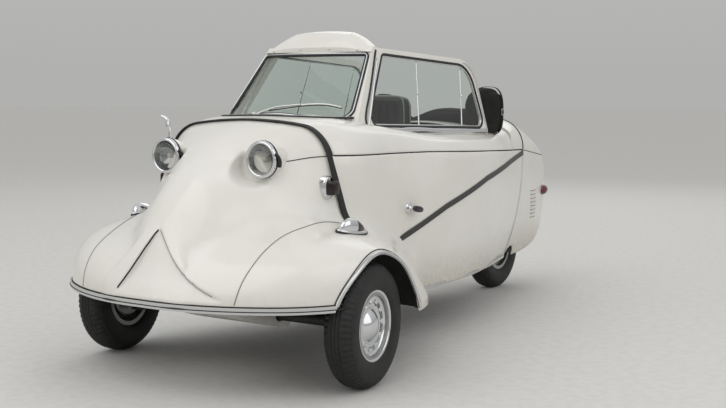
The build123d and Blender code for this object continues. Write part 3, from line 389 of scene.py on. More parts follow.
def half_section(row):
    """Half of one cross-section, from the crown down to the underside's edge, as points of x, z. The
    shoulder's circle touches the crown's circle and the flank's circle from inside."""
    _, crown_z, crown_r, half, wide_z, flank_r, shoulder_r, under_z = row
    crown, flank = np.array([0.0, crown_z - crown_r]), np.array([half - flank_r, wide_z])
    reach_c, reach_f = crown_r - shoulder_r, flank_r - shoulder_r
    span = np.linalg.norm(flank - crown)
    along = (reach_c**2 - reach_f**2 + span**2) / (2 * span)
    aside = math.sqrt(max(reach_c**2 - along**2, 0.0))
    unit = (flank - crown) / span
    foot = crown + along * unit
    normal = np.array([-unit[1], unit[0]])
    shoulder = max((foot + aside * normal, foot - aside * normal), key=lambda p: p[0] + p[1])
    a1 = math.atan2(*(shoulder - crown))
    a2 = math.atan2(*(shoulder - flank))
    a3 = math.pi / 2 + math.asin((wide_z - under_z) / flank_r)
    pieces = []
    arcs = (crown, crown_r, 0, a1), (shoulder, shoulder_r, a1, a2), (flank, flank_r, a2, a3)
    for centre, radius, start, end in arcs:
        angle = np.linspace(start, end, ARC_POINTS)
        pieces.append(centre + radius * np.stack([np.sin(angle), np.cos(angle)], -1))
    return np.vstack(pieces)


def cubic(knots, values, at):
    """Cubic curve through values (n, ...) at increasing knots, its second derivative zero at both ends."""
    n = len(knots)
    flat = values.reshape(n, -1)
    h = np.diff(knots)
    matrix, right = np.eye(n), np.zeros_like(flat)
    for i in range(1, n - 1):
        matrix[i, i - 1 : i + 2] = h[i - 1], 2 * (h[i - 1] + h[i]), h[i]
        right[i] = 6 * ((flat[i + 1] - flat[i]) / h[i] - (flat[i] - flat[i - 1]) / h[i - 1])
    second = np.linalg.solve(matrix, right)
    k = np.clip(np.searchsorted(knots, at, side="right") - 1, 0, n - 2)
    b = ((at - knots[k]) / h[k])[:, None]
    a = 1 - b
    bend = ((a**3 - a) * second[k] + (b**3 - b) * second[k + 1]) * h[k][:, None] ** 2 / 6
    return (a * flat[k] + b * flat[k + 1] + bend).reshape((len(at),) + values.shape[1:])


def rows_at(table, i):
    """Rows of a table of curves at fractional positions, blended between neighbours."""
    k = np.clip(i.astype(int), 0, len(table) - 2)
    share = (i - k)[:, None, None]
    return table[k] * (1 - share) + table[k + 1] * share


def sampler(rows, columns, values):
    """Bilinear lookup in a table whose rows and columns are evenly spaced."""
    def at(r, c):
        i = np.clip((r - rows[0]) / (rows[1] - rows[0]), 0, len(rows) - 1.000001)
        j = np.clip((c - columns[0]) / (columns[1] - columns[0]), 0, len(columns) - 1.000001)
        i0, j0 = i.astype(int), j.astype(int)
        u, v = i - i0, j - j0
        low = values[i0, j0] * (1 - v) + values[i0, j0 + 1] * v
        high = values[i0 + 1, j0] * (1 - v) + values[i0 + 1, j0 + 1] * v
        return low * (1 - u) + high * u
    return at


STATIONS = np.arange(NOSE_TIP, TAIL_END + 0.1, 3.8)
HEIGHTS = np.arange(160.0, 900.1, 1.5)
_sections = np.stack([half_section(row) for row in BODY_SECTIONS])
_hops = np.linalg.norm(np.diff(_sections, axis=0), axis=2) ** 2 + np.diff(BODY_SECTIONS[:, :1], axis=0) ** 2
_run = np.concatenate([[0], np.cumsum(np.sqrt(_hops).mean(1))])
_dense = np.linspace(0, _run[-1], 1600)
_station_of = cubic(_run, BODY_SECTIONS[:, 0], _dense)
HULL = cubic(_run, _sections, np.interp(STATIONS, _station_of, _dense))
UNDERSIDE = HULL[:, -1, 1]


def squared_widths(section):
    """Half width squared at each of HEIGHTS on one section; past the crown it runs on below zero."""
    x2, z = section[::-1, 0] ** 2, np.maximum.accumulate(section[::-1, 1])
    return np.where(HEIGHTS > z[-1], -900.0 * (HEIGHTS - z[-1]), np.interp(HEIGHTS, z, x2))


body_x2 = sampler(STATIONS, HEIGHTS, np.stack([squared_widths(section) for section in HULL]))


def arc_through(p, q, r, points):
    """Points on the arc from p through q to r."""
    p, q, r = (np.array(v, float) for v in (p, q, r))
    rows = np.array([q - p, r - p])
    centre = p + np.linalg.solve(rows, (rows**2).sum(1) / 2)
    radius = np.linalg.norm(p - centre)
    angles = np.unwrap([math.atan2(*(v - centre)[::-1]) for v in (p, q, r)])
    angle = np.linspace(angles[0], angles[2], points)
    return centre + radius * np.stack([np.cos(angle), np.sin(angle)], -1)


DOME_CENTRE, DOME_TOP = 7.0, 550.0
DOME_LOW, DOME_HIGH = 245.0, 537.0
FULLNESS = 2 / 2.15
DOME_LEVELS = np.array([245.0, 290, 340, 390, 430, 465, 495, 520, 538])
BEARINGS = np.linspace(-math.pi / 2, math.pi / 2, 361)


def dome_outline(z):
    """Radius of the dome's outline about its centre at each of BEARINGS (from ahead, round the left side, to
    behind): a full-nosed curve in front and an ellipse behind, in three arcs."""
    side = (max(z - 370, 0) / (DOME_TOP - 370)) ** 2.5
    fall = (1 - side) ** 0.4
    half = 612 * fall
    front = 470 * math.sqrt(1 - (max(z - 290, 0) / (DOME_TOP - 290)) ** 2)
    rear = (420 + 1.6 * max(490 - z, 0)) * fall

    def ahead(a):
        a = math.radians(a)
        return half * math.cos(a) ** FULLNESS, -front * math.sin(a) ** FULLNESS

    def behind(a):
        a = math.radians(a)
        return half * math.cos(a), rear * math.sin(a)

    curve = np.vstack([
        arc_through((0, -front), ahead(66), ahead(45), 80),
        arc_through(ahead(45), ahead(22), ahead(0), 80)[1:],
        arc_through(behind(0), behind(45), (0, rear), 120)[1:],
    ])
    return np.interp(BEARINGS, np.arctan2(curve[:, 1], curve[:, 0]), np.hypot(*curve.T))


_levels = np.arange(DOME_LOW, DOME_LEVELS[-1] + 0.1, 1.5)
_outlines = cubic(DOME_LEVELS, np.stack([dome_outline(z) for z in DOME_LEVELS]), _levels)
dome_radius = sampler(_levels, BEARINGS, _outlines)


def beyond_body(x, s, z):
    """Above zero outside the body, below zero inside."""
    outside = np.asarray(x) ** 2 - body_x2(np.asarray(s), np.asarray(z))
    return np.where((s < NOSE_TIP) | (s > TAIL_END), np.abs(outside) + 1, outside)


def beyond_dome(x, s, z):
    """Above zero outside the dome over the front wheels, below zero inside."""
    reach = np.hypot(x, s - DOME_CENTRE)
    outside = reach - dome_radius(z, np.arctan2(s - DOME_CENTRE, np.abs(x)))
    return np.where(z > DOME_LEVELS[-1], np.abs(outside) + 1, outside)


def first_exit(outside, origin, direction, z):
    """Distance along a level ray from an inside point to the surface, by halving."""
    near, far = np.zeros_like(z), np.full_like(z, 1400.0)
    for _ in range(34):
        mid = (near + far) / 2
        out = outside(origin[0] + mid * direction[0], origin[1] + mid * direction[1], z) > 0
        near, far = np.where(out, near, mid), np.where(out, mid, far)
    return near


def waist(s):
    """Height of the parting line between the lower body and what opens."""
    return np.interp(s, [HOOP, 700, TAIL, TAIL_END], [749, 739, 698, 641])


print("body table", HULL.shape, "dome table", _outlines.shape)

# %% [markdown]
# ## Nose, fenders and lower flanks
# On the car the nose, the two fenders and the tub are pressings welded into one shell, so one surface
# runs from the hoop over the nose and out over both wheels, and back along the flanks. Level rays from
# a vertical axis inside the nose meet the body or the fender dome, whichever lies further out. Each
# meridian is then softened where the two meet, which makes the hollow fillet of the pressings.

# %% The welded shell
def place(x, s, z):
    """Station coordinates in millimetres as points of the shared frame in metres."""
    x, s, z = np.broadcast_arrays(x, s, z)
    return np.stack([x * MM, s * MM + FRONT_AXLE_Y, z * MM], -1)


def relax(curves, corner, sigma):
    """Gaussian average along each curve (rows, points, 2) at even arc steps, only near its corner. corner is
    the corner's arc share on each row and sigma the average's reach in millimetres on each row."""
    count = curves.shape[1]
    length = np.linalg.norm(np.diff(curves, axis=1), axis=2).sum(1)
    run = np.linspace(0, 1, count)[None, :] * length[:, None]
    # Each curve is carried on past its ends, turned about them, so that the average leaves the ends in place.
    extra = count // 3
    before = 2 * curves[:, :1] - curves[:, extra:0:-1]
    after = 2 * curves[:, -1:] - curves[:, -2 : -extra - 2 : -1]
    longer = np.concatenate([before, curves, after], 1)
    far = np.arange(-extra, count + extra)[None, :] / (count - 1) * length[:, None]
    gap = (run[:, :, None] - far[:, None, :]) / sigma[:, None, None]
    weight = np.exp(-0.5 * gap**2)
    weight /= weight.sum(2, keepdims=True)
    soft = np.einsum("rij,rjd->rid", weight, longer)
    away = (run - (corner * length)[:, None]) / (3.2 * sigma[:, None])
    share = (1 / (1 + away**8))[:, :, None]
    return curves * (1 - share) + soft * share


def arch_line(s):
    """Height of the wheel arch's edge at a station, and far below the body beyond the arch."""
    rise = np.sqrt(np.maximum(ARCH_R**2 - (s - ARCH_S) ** 2, 0))
    return ARCH_Z + rise - np.where(abs(s - ARCH_S) > ARCH_R, 900, 0)


SPLIT_Z = 749.0
UPPER_POINTS, LOWER_POINTS = 26, 104
# The arrow-shaped recess in the nose, left arm and right arm: height and distance from the middle.
RECESS = np.array([(300, 318), (326, 290), (340, 250), (361, 201), (385, 160), (418, 116), (445, 85), (480, 51),
                   (514, 20), (534, 0)], float)
RECESS_RIGHT = np.array([(300, 140), (335, 116), (376, 90), (422, 66), (450, 53), (476, 41), (514, 20),
                         (534, 0)], float)
RECESS_DEPTH = 20.0
# A headlamp's centre (across, height), the station of its face, the seat's radius and how far it fades out.
LAMP_CENTRE, LAMP_FACE, LAMP_SEAT, LAMP_FADE = (209.0, 741.0), -96.0, 64.0, 34.0


def press_recess(curves, bearing, arm):
    """Presses the arrow-shaped recess into the front meridians. Its edge is a step 16 mm wide, and it is
    deepest half way up and runs out at its tip and at the apron."""
    r, z = curves[..., 0], curves[..., 1]
    edge = np.interp(z, arm[:, 0], arm[:, 1])
    inside = np.clip((edge - np.abs(r * np.cos(bearing)[:, None])) / 16.0, 0, 1)
    climb = np.clip((z - 318) / (534 - 318), 0, 1)
    depth = RECESS_DEPTH * np.sin(np.pi * climb) ** 0.8
    shaped = curves.copy()
    shaped[..., 0] = r - depth * inside**2 * (3 - 2 * inside)
    return shaped


def seat_lamps(curves, bearing):
    """Presses a shallow seat into the nose round each headlamp, so that the whole rim stands clear: inside
    the circle nothing reaches ahead of LAMP_FACE, and the dent fades out round it."""
    r, z = curves[..., 0], curves[..., 1]
    sine, cosine = np.sin(bearing)[:, None], np.cos(bearing)[:, None]
    away = np.hypot(r * cosine - LAMP_CENTRE[0], z - LAMP_CENTRE[1])
    limit = (HOOP - LAMP_FACE) / np.maximum(sine, 0.05)
    near = np.clip((LAMP_SEAT + LAMP_FADE - away) / LAMP_FADE, 0, 1)
    shaped = curves.copy()
    shaped[..., 0] = r - near**2 * (3 - 2 * near) * np.maximum(r - limit, 0)
    return shaped


def corner_share(curves, z, over):
    """Arc share of the corner on each curve, where the dome first lies outside the body."""
    first = np.where(over.any(1), over.argmax(1), z.shape[1] - 1)
    corner_z = np.take_along_axis(z, first[:, None], 1)[:, 0]
    even = np.linspace(0, 1, curves.shape[1])
    return np.array([np.interp(-height, -curve[:, 1], even) for height, curve in zip(corner_z, curves)])


def front_meridians(count):
    """Meridians of the front end over a quarter turn, from the left flank (0) to dead ahead, as distance from
    the vertical axis at the hoop and height: each one's bearing, and the curves with the left arm of the
    recess and with the right one."""
    bearing = np.interp(np.linspace(0, 1, count), [0, 0.42, 1], [0, math.radians(52), math.pi / 2])
    axis, direction = (0.0, HOOP), (np.cos(bearing)[:, None], -np.sin(bearing)[:, None])
    foot = np.full(count, APRON_Z)
    for _ in range(14):
        z = foot[:, None]
        body, dome = (first_exit(beyond, axis, direction, z)[:, 0] for beyond in (beyond_body, beyond_dome))
        reach = np.maximum(body, dome)
        s = HOOP - reach * np.sin(bearing)
        foot = np.where(reach * np.cos(bearing) > 440, np.maximum(arch_line(s), APRON_Z), APRON_Z)
    z = HOOP_CROWN - np.linspace(0, 1, 300) ** 2 * (HOOP_CROWN - foot[:, None])
    body = first_exit(beyond_body, axis, direction, z)
    dome = np.where(z > DOME_HIGH, 0.0, first_exit(beyond_dome, axis, direction, np.minimum(z, DOME_HIGH)))
    body[:, 0] = 0.0
    curves = resample(np.stack([np.maximum(body, dome), z], -1), 320)
    share = corner_share(curves, z, dome > body)
    sigma = 18.0 + 22.0 * np.cos(bearing) ** 4 + 26.0 * np.sin(2 * bearing) ** 2
    curves = seat_lamps(relax(curves, share, sigma), bearing)
    sides = []
    for arm in (RECESS, RECESS_RIGHT):
        pressed = press_recess(curves, bearing, arm)
        upper = np.stack([cut_curve(c, None, SPLIT_Z, UPPER_POINTS) for c in pressed])
        lower = np.stack([cut_curve(c, SPLIT_Z, None, LOWER_POINTS) for c in pressed])
        sides.append(np.concatenate([upper, lower[:, 1:]], 1))
    return bearing, sides


def cut_curve(curve, top, bottom, count):
    """The stretch of a falling curve between two heights, resampled to evenly spaced points."""
    z = curve[:, 1]
    top = z[0] if top is None else top
    bottom = z[-1] if bottom is None else bottom
    inside = (z < top) & (z > bottom)
    ends = [[np.interp(-v, -z, curve[:, 0]), v] for v in (top, bottom)]
    return resample(np.vstack([ends[:1], curve[inside], ends[1:]])[None], count)[0]


def flank_curves(stations):
    """Curves of the lower body behind the hoop, from the waist to the sill or the arch."""
    foot = np.maximum(np.interp(stations, STATIONS, UNDERSIDE), arch_line(stations))
    top = waist(stations)[:, None] - HALF_GAP
    z = top - np.linspace(0, 1, 260) * (top - foot[:, None])
    s = stations[:, None] + 0 * z
    body = np.sqrt(np.maximum(body_x2(s, z), 0))
    reach = first_exit(beyond_dome, (0.0, s), (1.0, 0.0), np.clip(z, DOME_LOW, DOME_HIGH))
    dome = np.where(z > DOME_HIGH, 0.0, reach)
    curves = resample(np.stack([np.maximum(body, dome), z], -1), 320)
    share = corner_share(curves, z, dome > body)
    sigma = 40.0 + 15.0 * np.clip((stations - HOOP) / 200, 0, 1)
    return resample(relax(curves, share, sigma), LOWER_POINTS)


bearing, (meridians, meridians_right) = front_meridians(127)
arch_end = ARCH_S + math.sqrt(ARCH_R**2 - (ARCH_Z - 222.0) ** 2)
flank_stations = np.unique(np.concatenate([
    np.linspace(HOOP, arch_end, 20), np.linspace(arch_end + 0.5, 520, 18), np.linspace(520, TAIL - HALF_GAP, 44)
]))
flanks = flank_curves(flank_stations)
flanks[0] = meridians[0, UPPER_POINTS - 1 :]


def shell_piece():
    """One mesh from the front meridians, mirrored, and both flanks, which share the meridian at the hoop."""
    left, right = (
        place(m[..., 0] * np.cos(bearing)[:, None], HOOP - m[..., 0] * np.sin(bearing)[:, None], m[..., 1])
        for m in (meridians, meridians_right)
    )
    right = right[::-1][1:] * [-1, 1, 1]
    front = np.concatenate([left, right])
    side = place(flanks[..., 0], flank_stations[:, None], flanks[..., 1])
    parts = [front, side, side * [-1, 1, 1]]
    points, faces, start = [], [], 0
    for part in parts:
        faces.append(grid_faces(part.shape[0], part.shape[1], start=start))
        points.append(part.reshape(-1, 3))
        start += len(points[-1])
    shell = mesh_piece("body_shell", np.vstack(points), np.vstack(faces), ENAMEL, "car")
    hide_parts("nose_panel", "fender_left", "fender_right", "tub")
    return wall(shell, SHEET)


shell = shell_piece()
print("body shell", len(shell.data.vertices), "points")

# %% [markdown]
# ## Lid, deck and tail cover
# Above the waist the skin is three pressings: the long lid that hinges on the right, a fixed deck behind
# the hood, and the tail cover that tips back off the engine. The gap between them is 5 mm, and the
# lid has the cockpit's opening cut out of it.

# %% Upper panels
def hull_rows(stations):
    """The body's half sections at stations."""
    return rows_at(HULL, (stations - STATIONS[0]) / (STATIONS[1] - STATIONS[0]))


def upper_curves(stations):
    """Curves from the crown to the waist seam, by arc share, at each station."""
    rows = hull_rows(stations)
    return np.stack([cut_curve(row, None, waist(s) + HALF_GAP, len(ARC)) for row, s in zip(rows, stations)])


def whole(half):
    """A grid of the left half with its mirror image, joined along the middle line."""
    return np.concatenate([half[:, :0:-1] * [-1, 1, 1], half], axis=1)


LID_START, LID_END = HOOP + 5.0, BULKHEAD - 5.0
HOLE_HALF, HOLE_START, HOLE_END = 284.0, 430.0, 1285.0
# The front edge of the opening: distance from the middle, station.
HOLE_FRONT = [0, 190, 266, HOLE_HALF], [262, 282, 345, HOLE_START]
LID_ROWS = np.linspace(LID_START, LID_END, 387)
ARC = np.linspace(0, 1, 160)
LID_CURVES = upper_curves(LID_ROWS)
lid_x = sampler(LID_ROWS, ARC, LID_CURVES[..., 0])
lid_z = sampler(LID_ROWS, ARC, LID_CURVES[..., 1])


def lid_piece():
    """Grid of stations and arc shares whose inner columns stop at the opening's front edge and start
    again behind it."""
    edge = np.minimum(HOLE_HALF, 0.85 * LID_CURVES[:, -1, 0])
    edge_arc = np.array([np.interp(x, row[:, 0], ARC) for x, row in zip(edge, LID_CURVES)])
    inner, outer, front_rows, hole_rows = 26, 22, 34, 70
    lane = np.concatenate([np.linspace(0, 1, inner), np.linspace(1, 2, outer)[1:]])
    front_edge = np.interp(np.minimum(lane, 1) * HOLE_HALF, *HOLE_FRONT)
    v = np.linspace(0, 1, front_rows)[:, None]
    rows = np.concatenate([
        LID_START + v * (front_edge[None, :] - LID_START),
        np.linspace(HOLE_START, HOLE_END, hole_rows)[1:, None] + 0 * lane[None, :],
        np.linspace(HOLE_END, LID_END, 32)[1:, None] + 0 * lane[None, :],
    ])
    at_edge = np.interp(rows, LID_ROWS, edge_arc)
    # Inner columns keep their share of the width, so that they end exactly on the opening's side.
    arc = np.where(lane[None, :] <= 1, lane[None, :] * at_edge, at_edge + (lane[None, :] - 1) * (1 - at_edge))
    grid = whole(place(lid_x(rows, arc), rows, lid_z(rows, arc)))
    faces = grid_faces(*grid.shape[:2])
    columns = grid.shape[1]
    r, c = faces[:, 0] // columns, faces[:, 0] % columns
    beside = (r >= front_rows - 1) & (r < front_rows + hole_rows - 2)
    hole = beside & (c >= outer - 1) & (c < columns - outer)
    piece = mesh_piece("lid_skin", grid, faces[~hole], ENAMEL, "lid")
    drop_loose(piece)
    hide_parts("lid_shell")
    return wall(piece, SHEET)


def drop_loose(piece):
    """Takes away points that no face uses."""
    edit = bmesh.new()
    edit.from_mesh(piece.data)
    bmesh.ops.delete(edit, geom=[v for v in edit.verts if not v.link_faces], context="VERTS")
    edit.to_mesh(piece.data)
    edit.free()


def deck_piece():
    """The fixed deck between the lid and the tail cover."""
    stations = np.linspace(BULKHEAD, TAIL - HALF_GAP, 34)
    curves = resample(upper_curves(stations), 50)
    grid = whole(place(curves[..., 0], stations[:, None], curves[..., 1]))
    piece = mesh_piece("deck_skin", grid, grid_faces(*grid.shape[:2]), ENAMEL, "car")
    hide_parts("rear_deck")
    return wall(piece, SHEET)


NOTCH_S, NOTCH_Z, NOTCH_R = 1905.0, 168.0, 62.0


def tail_piece():
    """The tail cover: whole sections down to the open underside, with the notch over the wheel's hub, and a
    rounded end."""
    roll = 24.0
    stations = np.unique(np.concatenate([
        np.linspace(TAIL + HALF_GAP, NOTCH_S + NOTCH_R, 46),
        np.linspace(NOTCH_S + NOTCH_R, TAIL_END - roll, 60),
    ]))
    foot = np.interp(stations, STATIONS, UNDERSIDE)
    notch = NOTCH_Z + np.sqrt(np.maximum(NOTCH_R**2 - (stations - NOTCH_S) ** 2, 0))
    foot = np.where(abs(stations - NOTCH_S) < NOTCH_R, np.maximum(foot, notch), foot)
    curves = np.stack([cut_curve(row, None, low, 90) for row, low in zip(hull_rows(stations), foot)])
    turn = np.linspace(0, math.pi / 2, 9)[1:]
    last = curves[-1]
    middle = np.array([0.0, 470.0])
    size = np.array([last[:, 0].max(), 190.0])
    caps, cap_stations = [], []
    for a in turn:
        caps.append(middle + (last - middle) * (1 - roll * (1 - math.cos(a)) / size))
        cap_stations.append(TAIL_END - roll + roll * math.sin(a))
    for share in (0.7, 0.4, 0.0):
        caps.append(middle + (caps[7] - middle) * share)
        cap_stations.append(TAIL_END)
    curves = np.concatenate([curves, caps])
    stations = np.concatenate([stations, cap_stations])
    grid = whole(place(curves[..., 0], stations[:, None], curves[..., 1]))
    rows, columns = grid.shape[:2]
    low = np.arange(rows - len(caps) - 1, rows - 1) * columns
    high = low + columns
    closing = np.stack([low + columns - 1, high + columns - 1, high, low], -1)
    piece = mesh_piece("tail_skin", grid, np.vstack([grid_faces(rows, columns), closing]), ENAMEL, "tail")
    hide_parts("tail_cover")
    return wall(piece, SHEET)


panels = [lid_piece(), deck_piece(), tail_piece()]
print("upper panels", [len(p.data.vertices) for p in panels])

# %% [markdown]
# ## Inside and under the shell
# The cockpit is lined by the shell itself. A flat floor closes it below, a bulkhead parts it from the
# engine, and a plain box of sheet keeps each front wheel's dirt out of the nose.

# %% Floor, bulkhead and wheel houses
def floor_piece():
    """The underside from the wheel houses back to the bulkhead."""
    stations = np.linspace(-262, BULKHEAD, 60)
    low = np.interp(stations, STATIONS, UNDERSIDE)
    edge = np.sqrt(np.maximum(body_x2(stations, low + 1.0), 0)) - 2.0
    edge = np.where(stations < 330, np.minimum(edge, 290), edge)
    across = np.linspace(-1, 1, 9)[None, :]
    grid = place(across * edge[:, None], stations[:, None], (low + 1.0)[:, None])
    piece = mesh_piece("floor_pan", grid, grid_faces(*grid.shape[:2]), CHASSIS, "car")
    return wall(piece, 0.003, 1.0)


def wheel_house(tag, side):
    """A round tunnel over one front wheel, closed inwards by a flat wall. It is as wide as the arch at the
    lip and 26 mm wider behind it, which leaves room for the tyre at full lock."""
    inner, radius = 290.0, ARCH_R + 5.0
    front, rear = (math.asin((z - ARCH_Z) / radius) for z in (APRON_Z - 4, 226))
    angle = np.linspace(math.pi - front, rear, 40)
    lanes = []
    for x in (inner, inner + 4, 360.0, 420.0, 480.0, 530.0, 560.0, 600.0):
        wide = radius + 26.0 * min(max((585.0 - x) / 30.0, 0.0), 1.0)
        s, z = ARCH_S + wide * np.cos(angle), ARCH_Z + wide * np.sin(angle)
        reach = np.sqrt(np.maximum(body_x2(np.clip(s, -460, 2300), z), 0))
        dome = first_exit(beyond_dome, (0.0, s), (1.0, 0.0), np.clip(z, DOME_LOW, DOME_HIGH))
        lanes.append(np.stack([np.minimum(x, np.maximum(reach, dome) - 5.0), s, z], -1))
    lanes = np.array(lanes)
    grid = place(side * lanes[..., 0], lanes[..., 1], lanes[..., 2])
    middle = place(side * inner, np.full(1, ARCH_S), np.full(1, APRON_Z - 4))
    columns = len(angle)
    points = np.vstack([grid.reshape(-1, 3), middle])
    fan = np.stack([np.arange(columns - 1), np.arange(1, columns), np.full(columns - 1, len(points) - 1)], -1)
    faces = [list(f) for f in grid_faces(len(lanes), columns)] + [list(f) for f in fan]
    piece = mesh_piece("wheel_house_" + tag, points, faces, CHASSIS, "car", smooth=False)
    return wall(piece, SHEET / 2, 0.0)


def bulkhead_piece():
    """The wall behind the rear seat: the body's section as a flat sheet."""
    row = HULL[int((BULKHEAD - STATIONS[0]) / (STATIONS[1] - STATIONS[0]))]
    curve = resample(row[None], 60)[0] * [1, 1] - [4.0, 0.0]
    curve[:, 0] = np.maximum(curve[:, 0], 0)
    curve[:, 1] = np.minimum(curve[:, 1], row[0, 1] - 6)
    across = np.linspace(-1, 1, 15)[None, :]
    grid = place(across * curve[:, :1], np.full((1, 1), BULKHEAD + 4), curve[:, 1:] + 0 * across)
    piece = mesh_piece("bulkhead", grid, grid_faces(*grid.shape[:2]), CHASSIS, "car")
    return wall(piece, SHEET / 2, 0.0)


lining = [floor_piece(), *(wheel_house(tag, side) for tag, side in SIDES), bulkhead_piece()]
print("lining pieces", len(lining))

# %% [markdown]
# ## Lines on the shell
# The real shell shows where it was put together: a sealed joint between nose and fender, the parting line at the
# waist and a rubber moulding over the hoop. Along the edge of the arrow-shaped recess, lines of painted shade
# darken its creases. Each line is a path of rough points that is dropped onto the surface, so it never floats or
# sinks.

# %% Dropping points onto the shell
def table_of(curves, knots, even, heights):
    """A lookup of distance by (knot, height), made from falling curves at uneven knots."""
    rows = rows_at(curves, np.interp(even, knots, np.arange(len(knots))))
    return sampler(even, heights, np.stack([np.interp(-heights, -row[:, 1], row[:, 0]) for row in rows]))


_levels_shell = np.arange(180.0, 863.0, 1.5)
nose_r = table_of(meridians, bearing, np.linspace(0, math.pi / 2, 500), _levels_shell)
nose_r_right = table_of(meridians_right, bearing, np.linspace(0, math.pi / 2, 500), _levels_shell)
flank_x = table_of(flanks, flank_stations, np.linspace(HOOP, TAIL - HALF_GAP, 900), _levels_shell)


def unit(vectors):
    """Rows scaled to length one."""
    return vectors / np.linalg.norm(vectors, axis=-1, keepdims=True)


def nose_point(turn, z, x):
    """Surface point ahead of the hoop at a bearing and a height, on the side that the sign of x tells."""
    r = np.where(x < 0, nose_r_right(turn, z), nose_r(turn, z))
    return np.stack([r * np.cos(turn), HOOP - r * np.sin(turn), z], -1)


def flank_point(s, z):
    """Surface point behind the hoop at a station and a height."""
    return np.stack([flank_x(s, z), s, z], -1)


def on_shell(guide, lift=0.0):
    """Points on the shell nearest to rough (x, station, height) points, and the outward normals there. Works
    along the bearing ahead of the hoop and straight across behind it; x may be negative."""
    x, s, z = np.asarray(guide, float).T
    ahead = (s < HOOP)[:, None]
    turn = np.arctan2(np.maximum(HOOP - s, 0), np.abs(x))
    back = np.maximum(s, HOOP)
    point = np.where(ahead, nose_point(turn, z, x), flank_point(back, z))
    low, high = np.maximum(turn - 0.006, 0), np.minimum(turn + 0.006, math.pi / 2)
    nose_across = nose_point(low, z, x) - nose_point(high, z, x)
    nose_upward = nose_point(turn, z + 2, x) - nose_point(turn, z - 2, x)
    flank_across = flank_point(back + 2, z) - flank_point(np.maximum(back - 2, HOOP), z)
    flank_upward = flank_point(back, z + 2) - flank_point(back, z - 2)
    across = np.where(ahead, nose_across, flank_across)
    normal = unit(np.cross(across, np.where(ahead, nose_upward, flank_upward)))
    mirror = np.where(x < 0, -1.0, 1.0)[:, None] * [1, 0, 0] + [0, 1, 1]
    return place(*((point + normal * lift) * mirror).T), normal * mirror


def smooth_path(knots, count):
    """A cubic curve through points, evenly spaced along its length."""
    knots = np.asarray(knots, float)
    run = np.concatenate([[0], np.cumsum(np.linalg.norm(np.diff(knots, axis=0), axis=1))])
    return resample(cubic(run, knots, np.linspace(0, run[-1], 8 * count))[None], count)[0]


def shell_line(name, knots, count, radius, material):
    """A bead along a smooth path on the shell."""
    points, normals = on_shell(smooth_path(knots, count))
    return bead(name, points, radius * MM, material, "car", sides=8, normal=normals)


print("shell lookup ready")

# %% Seams, painted shade along the recess edge, and waist line
# This grey sealer draws the real joints and also the painted shade line in the recess's left crease.
SEALER_AND_CREASE_SHADE = rubber("joint_sealer_and_crease_shade", "#85827b", "#96938b", 0.6)
# Dark rubber for the real gaps, cords and lines; it also draws painted shade in the recess's right crease and
# painted shadow under the louvres.
GAP_RUBBER_AND_SHADE = rubber("gap_rubber_and_painted_shade", "#1b1a19", "#2a2927", 0.7)
NOSE_SEAM = np.array([(323, -399, 312), (333, -377, 372), (341, -338, 420), (346, -271, 467), (352, -177, 506),
                      (347, -63, 527), (348, 25, 533), (372, 85, 524)], float)
WAIST_LEAD = np.array([(232, -62, 729), (262, -25, 734), (300, 12, 741), (335, 52, 746), (354, 86, 748)], float)


def recess_edge(arm, sign, inward):
    """Knots along one arm of the recess, that many millimetres inside its edge."""
    z = np.array([520, 506, 490, 469, 440, 412, 385, 362, 345, 334], float)
    x = np.maximum(np.interp(z, arm[:, 0], arm[:, 1]) - inward, 1)
    return np.stack([sign * x, np.interp(z, [300, 534], [-440, -370]), z], -1)


for tag, side in SIDES:
    shell_line("nose_seam_" + tag, NOSE_SEAM * [side, 1, 1], 150, 1.9, SEALER_AND_CREASE_SHADE)
# Painted shade: a grey bead in the left arm's crease and a darker, thicker one in the right arm's stand in for the
# shade that falls into the recess's edges.
shell_line("recess_painted_shade_left", recess_edge(RECESS, 1, 9.0), 90, 1.7, SEALER_AND_CREASE_SHADE)
shell_line("recess_painted_shade_right", recess_edge(RECESS_RIGHT, -1, 9.0), 90, 2.6, GAP_RUBBER_AND_SHADE)
for tag, side in SIDES:
    shell_line("waist_lead_" + tag, WAIST_LEAD * [side, 1, 1], 40, 1.7, GAP_RUBBER_AND_SHADE)


def tail_waist():
    """The parting line carried on round the tail cover, one path on each side."""
    s = np.linspace(TAIL + 6, TAIL_END - 26, 70)
    z = waist(s)
    x = np.sqrt(np.maximum(body_x2(s, z), 0))
    for tag, side in SIDES:
        bead("tail_waist_" + tag, place(side * x, s, z), 1.7 * MM, GAP_RUBBER_AND_SHADE, "tail", sides=8)


def deck_piping():
    """A rubber cord in the joint between the deck and the tail cover, over the top from waist to waist."""
    row = upper_curves(np.array([TAIL - 1.0]))[0]
    half = place(row[:, 0], np.full(len(row), TAIL), row[:, 1])
    path = np.concatenate([half[::-1] * [-1, 1, 1], half[1:]])
    return bead("deck_piping", path[::3], 3.4 * MM, GAP_RUBBER_AND_SHADE, "car", sides=8)


tail_waist()
deck_piping()
print("seams laid")

# %% Rubber moulding over the hoop
# Where the moulding runs down the left side: station, height.
HOOP_LINE = np.array([(88, 864), (86, 858), (84, 840), (83, 820), (83, 798), (83, 774), (84, 744), (88, 712),
                      (94, 680), (103, 640), (113, 606), (121, 575), (128, 546), (131, 532)], float)


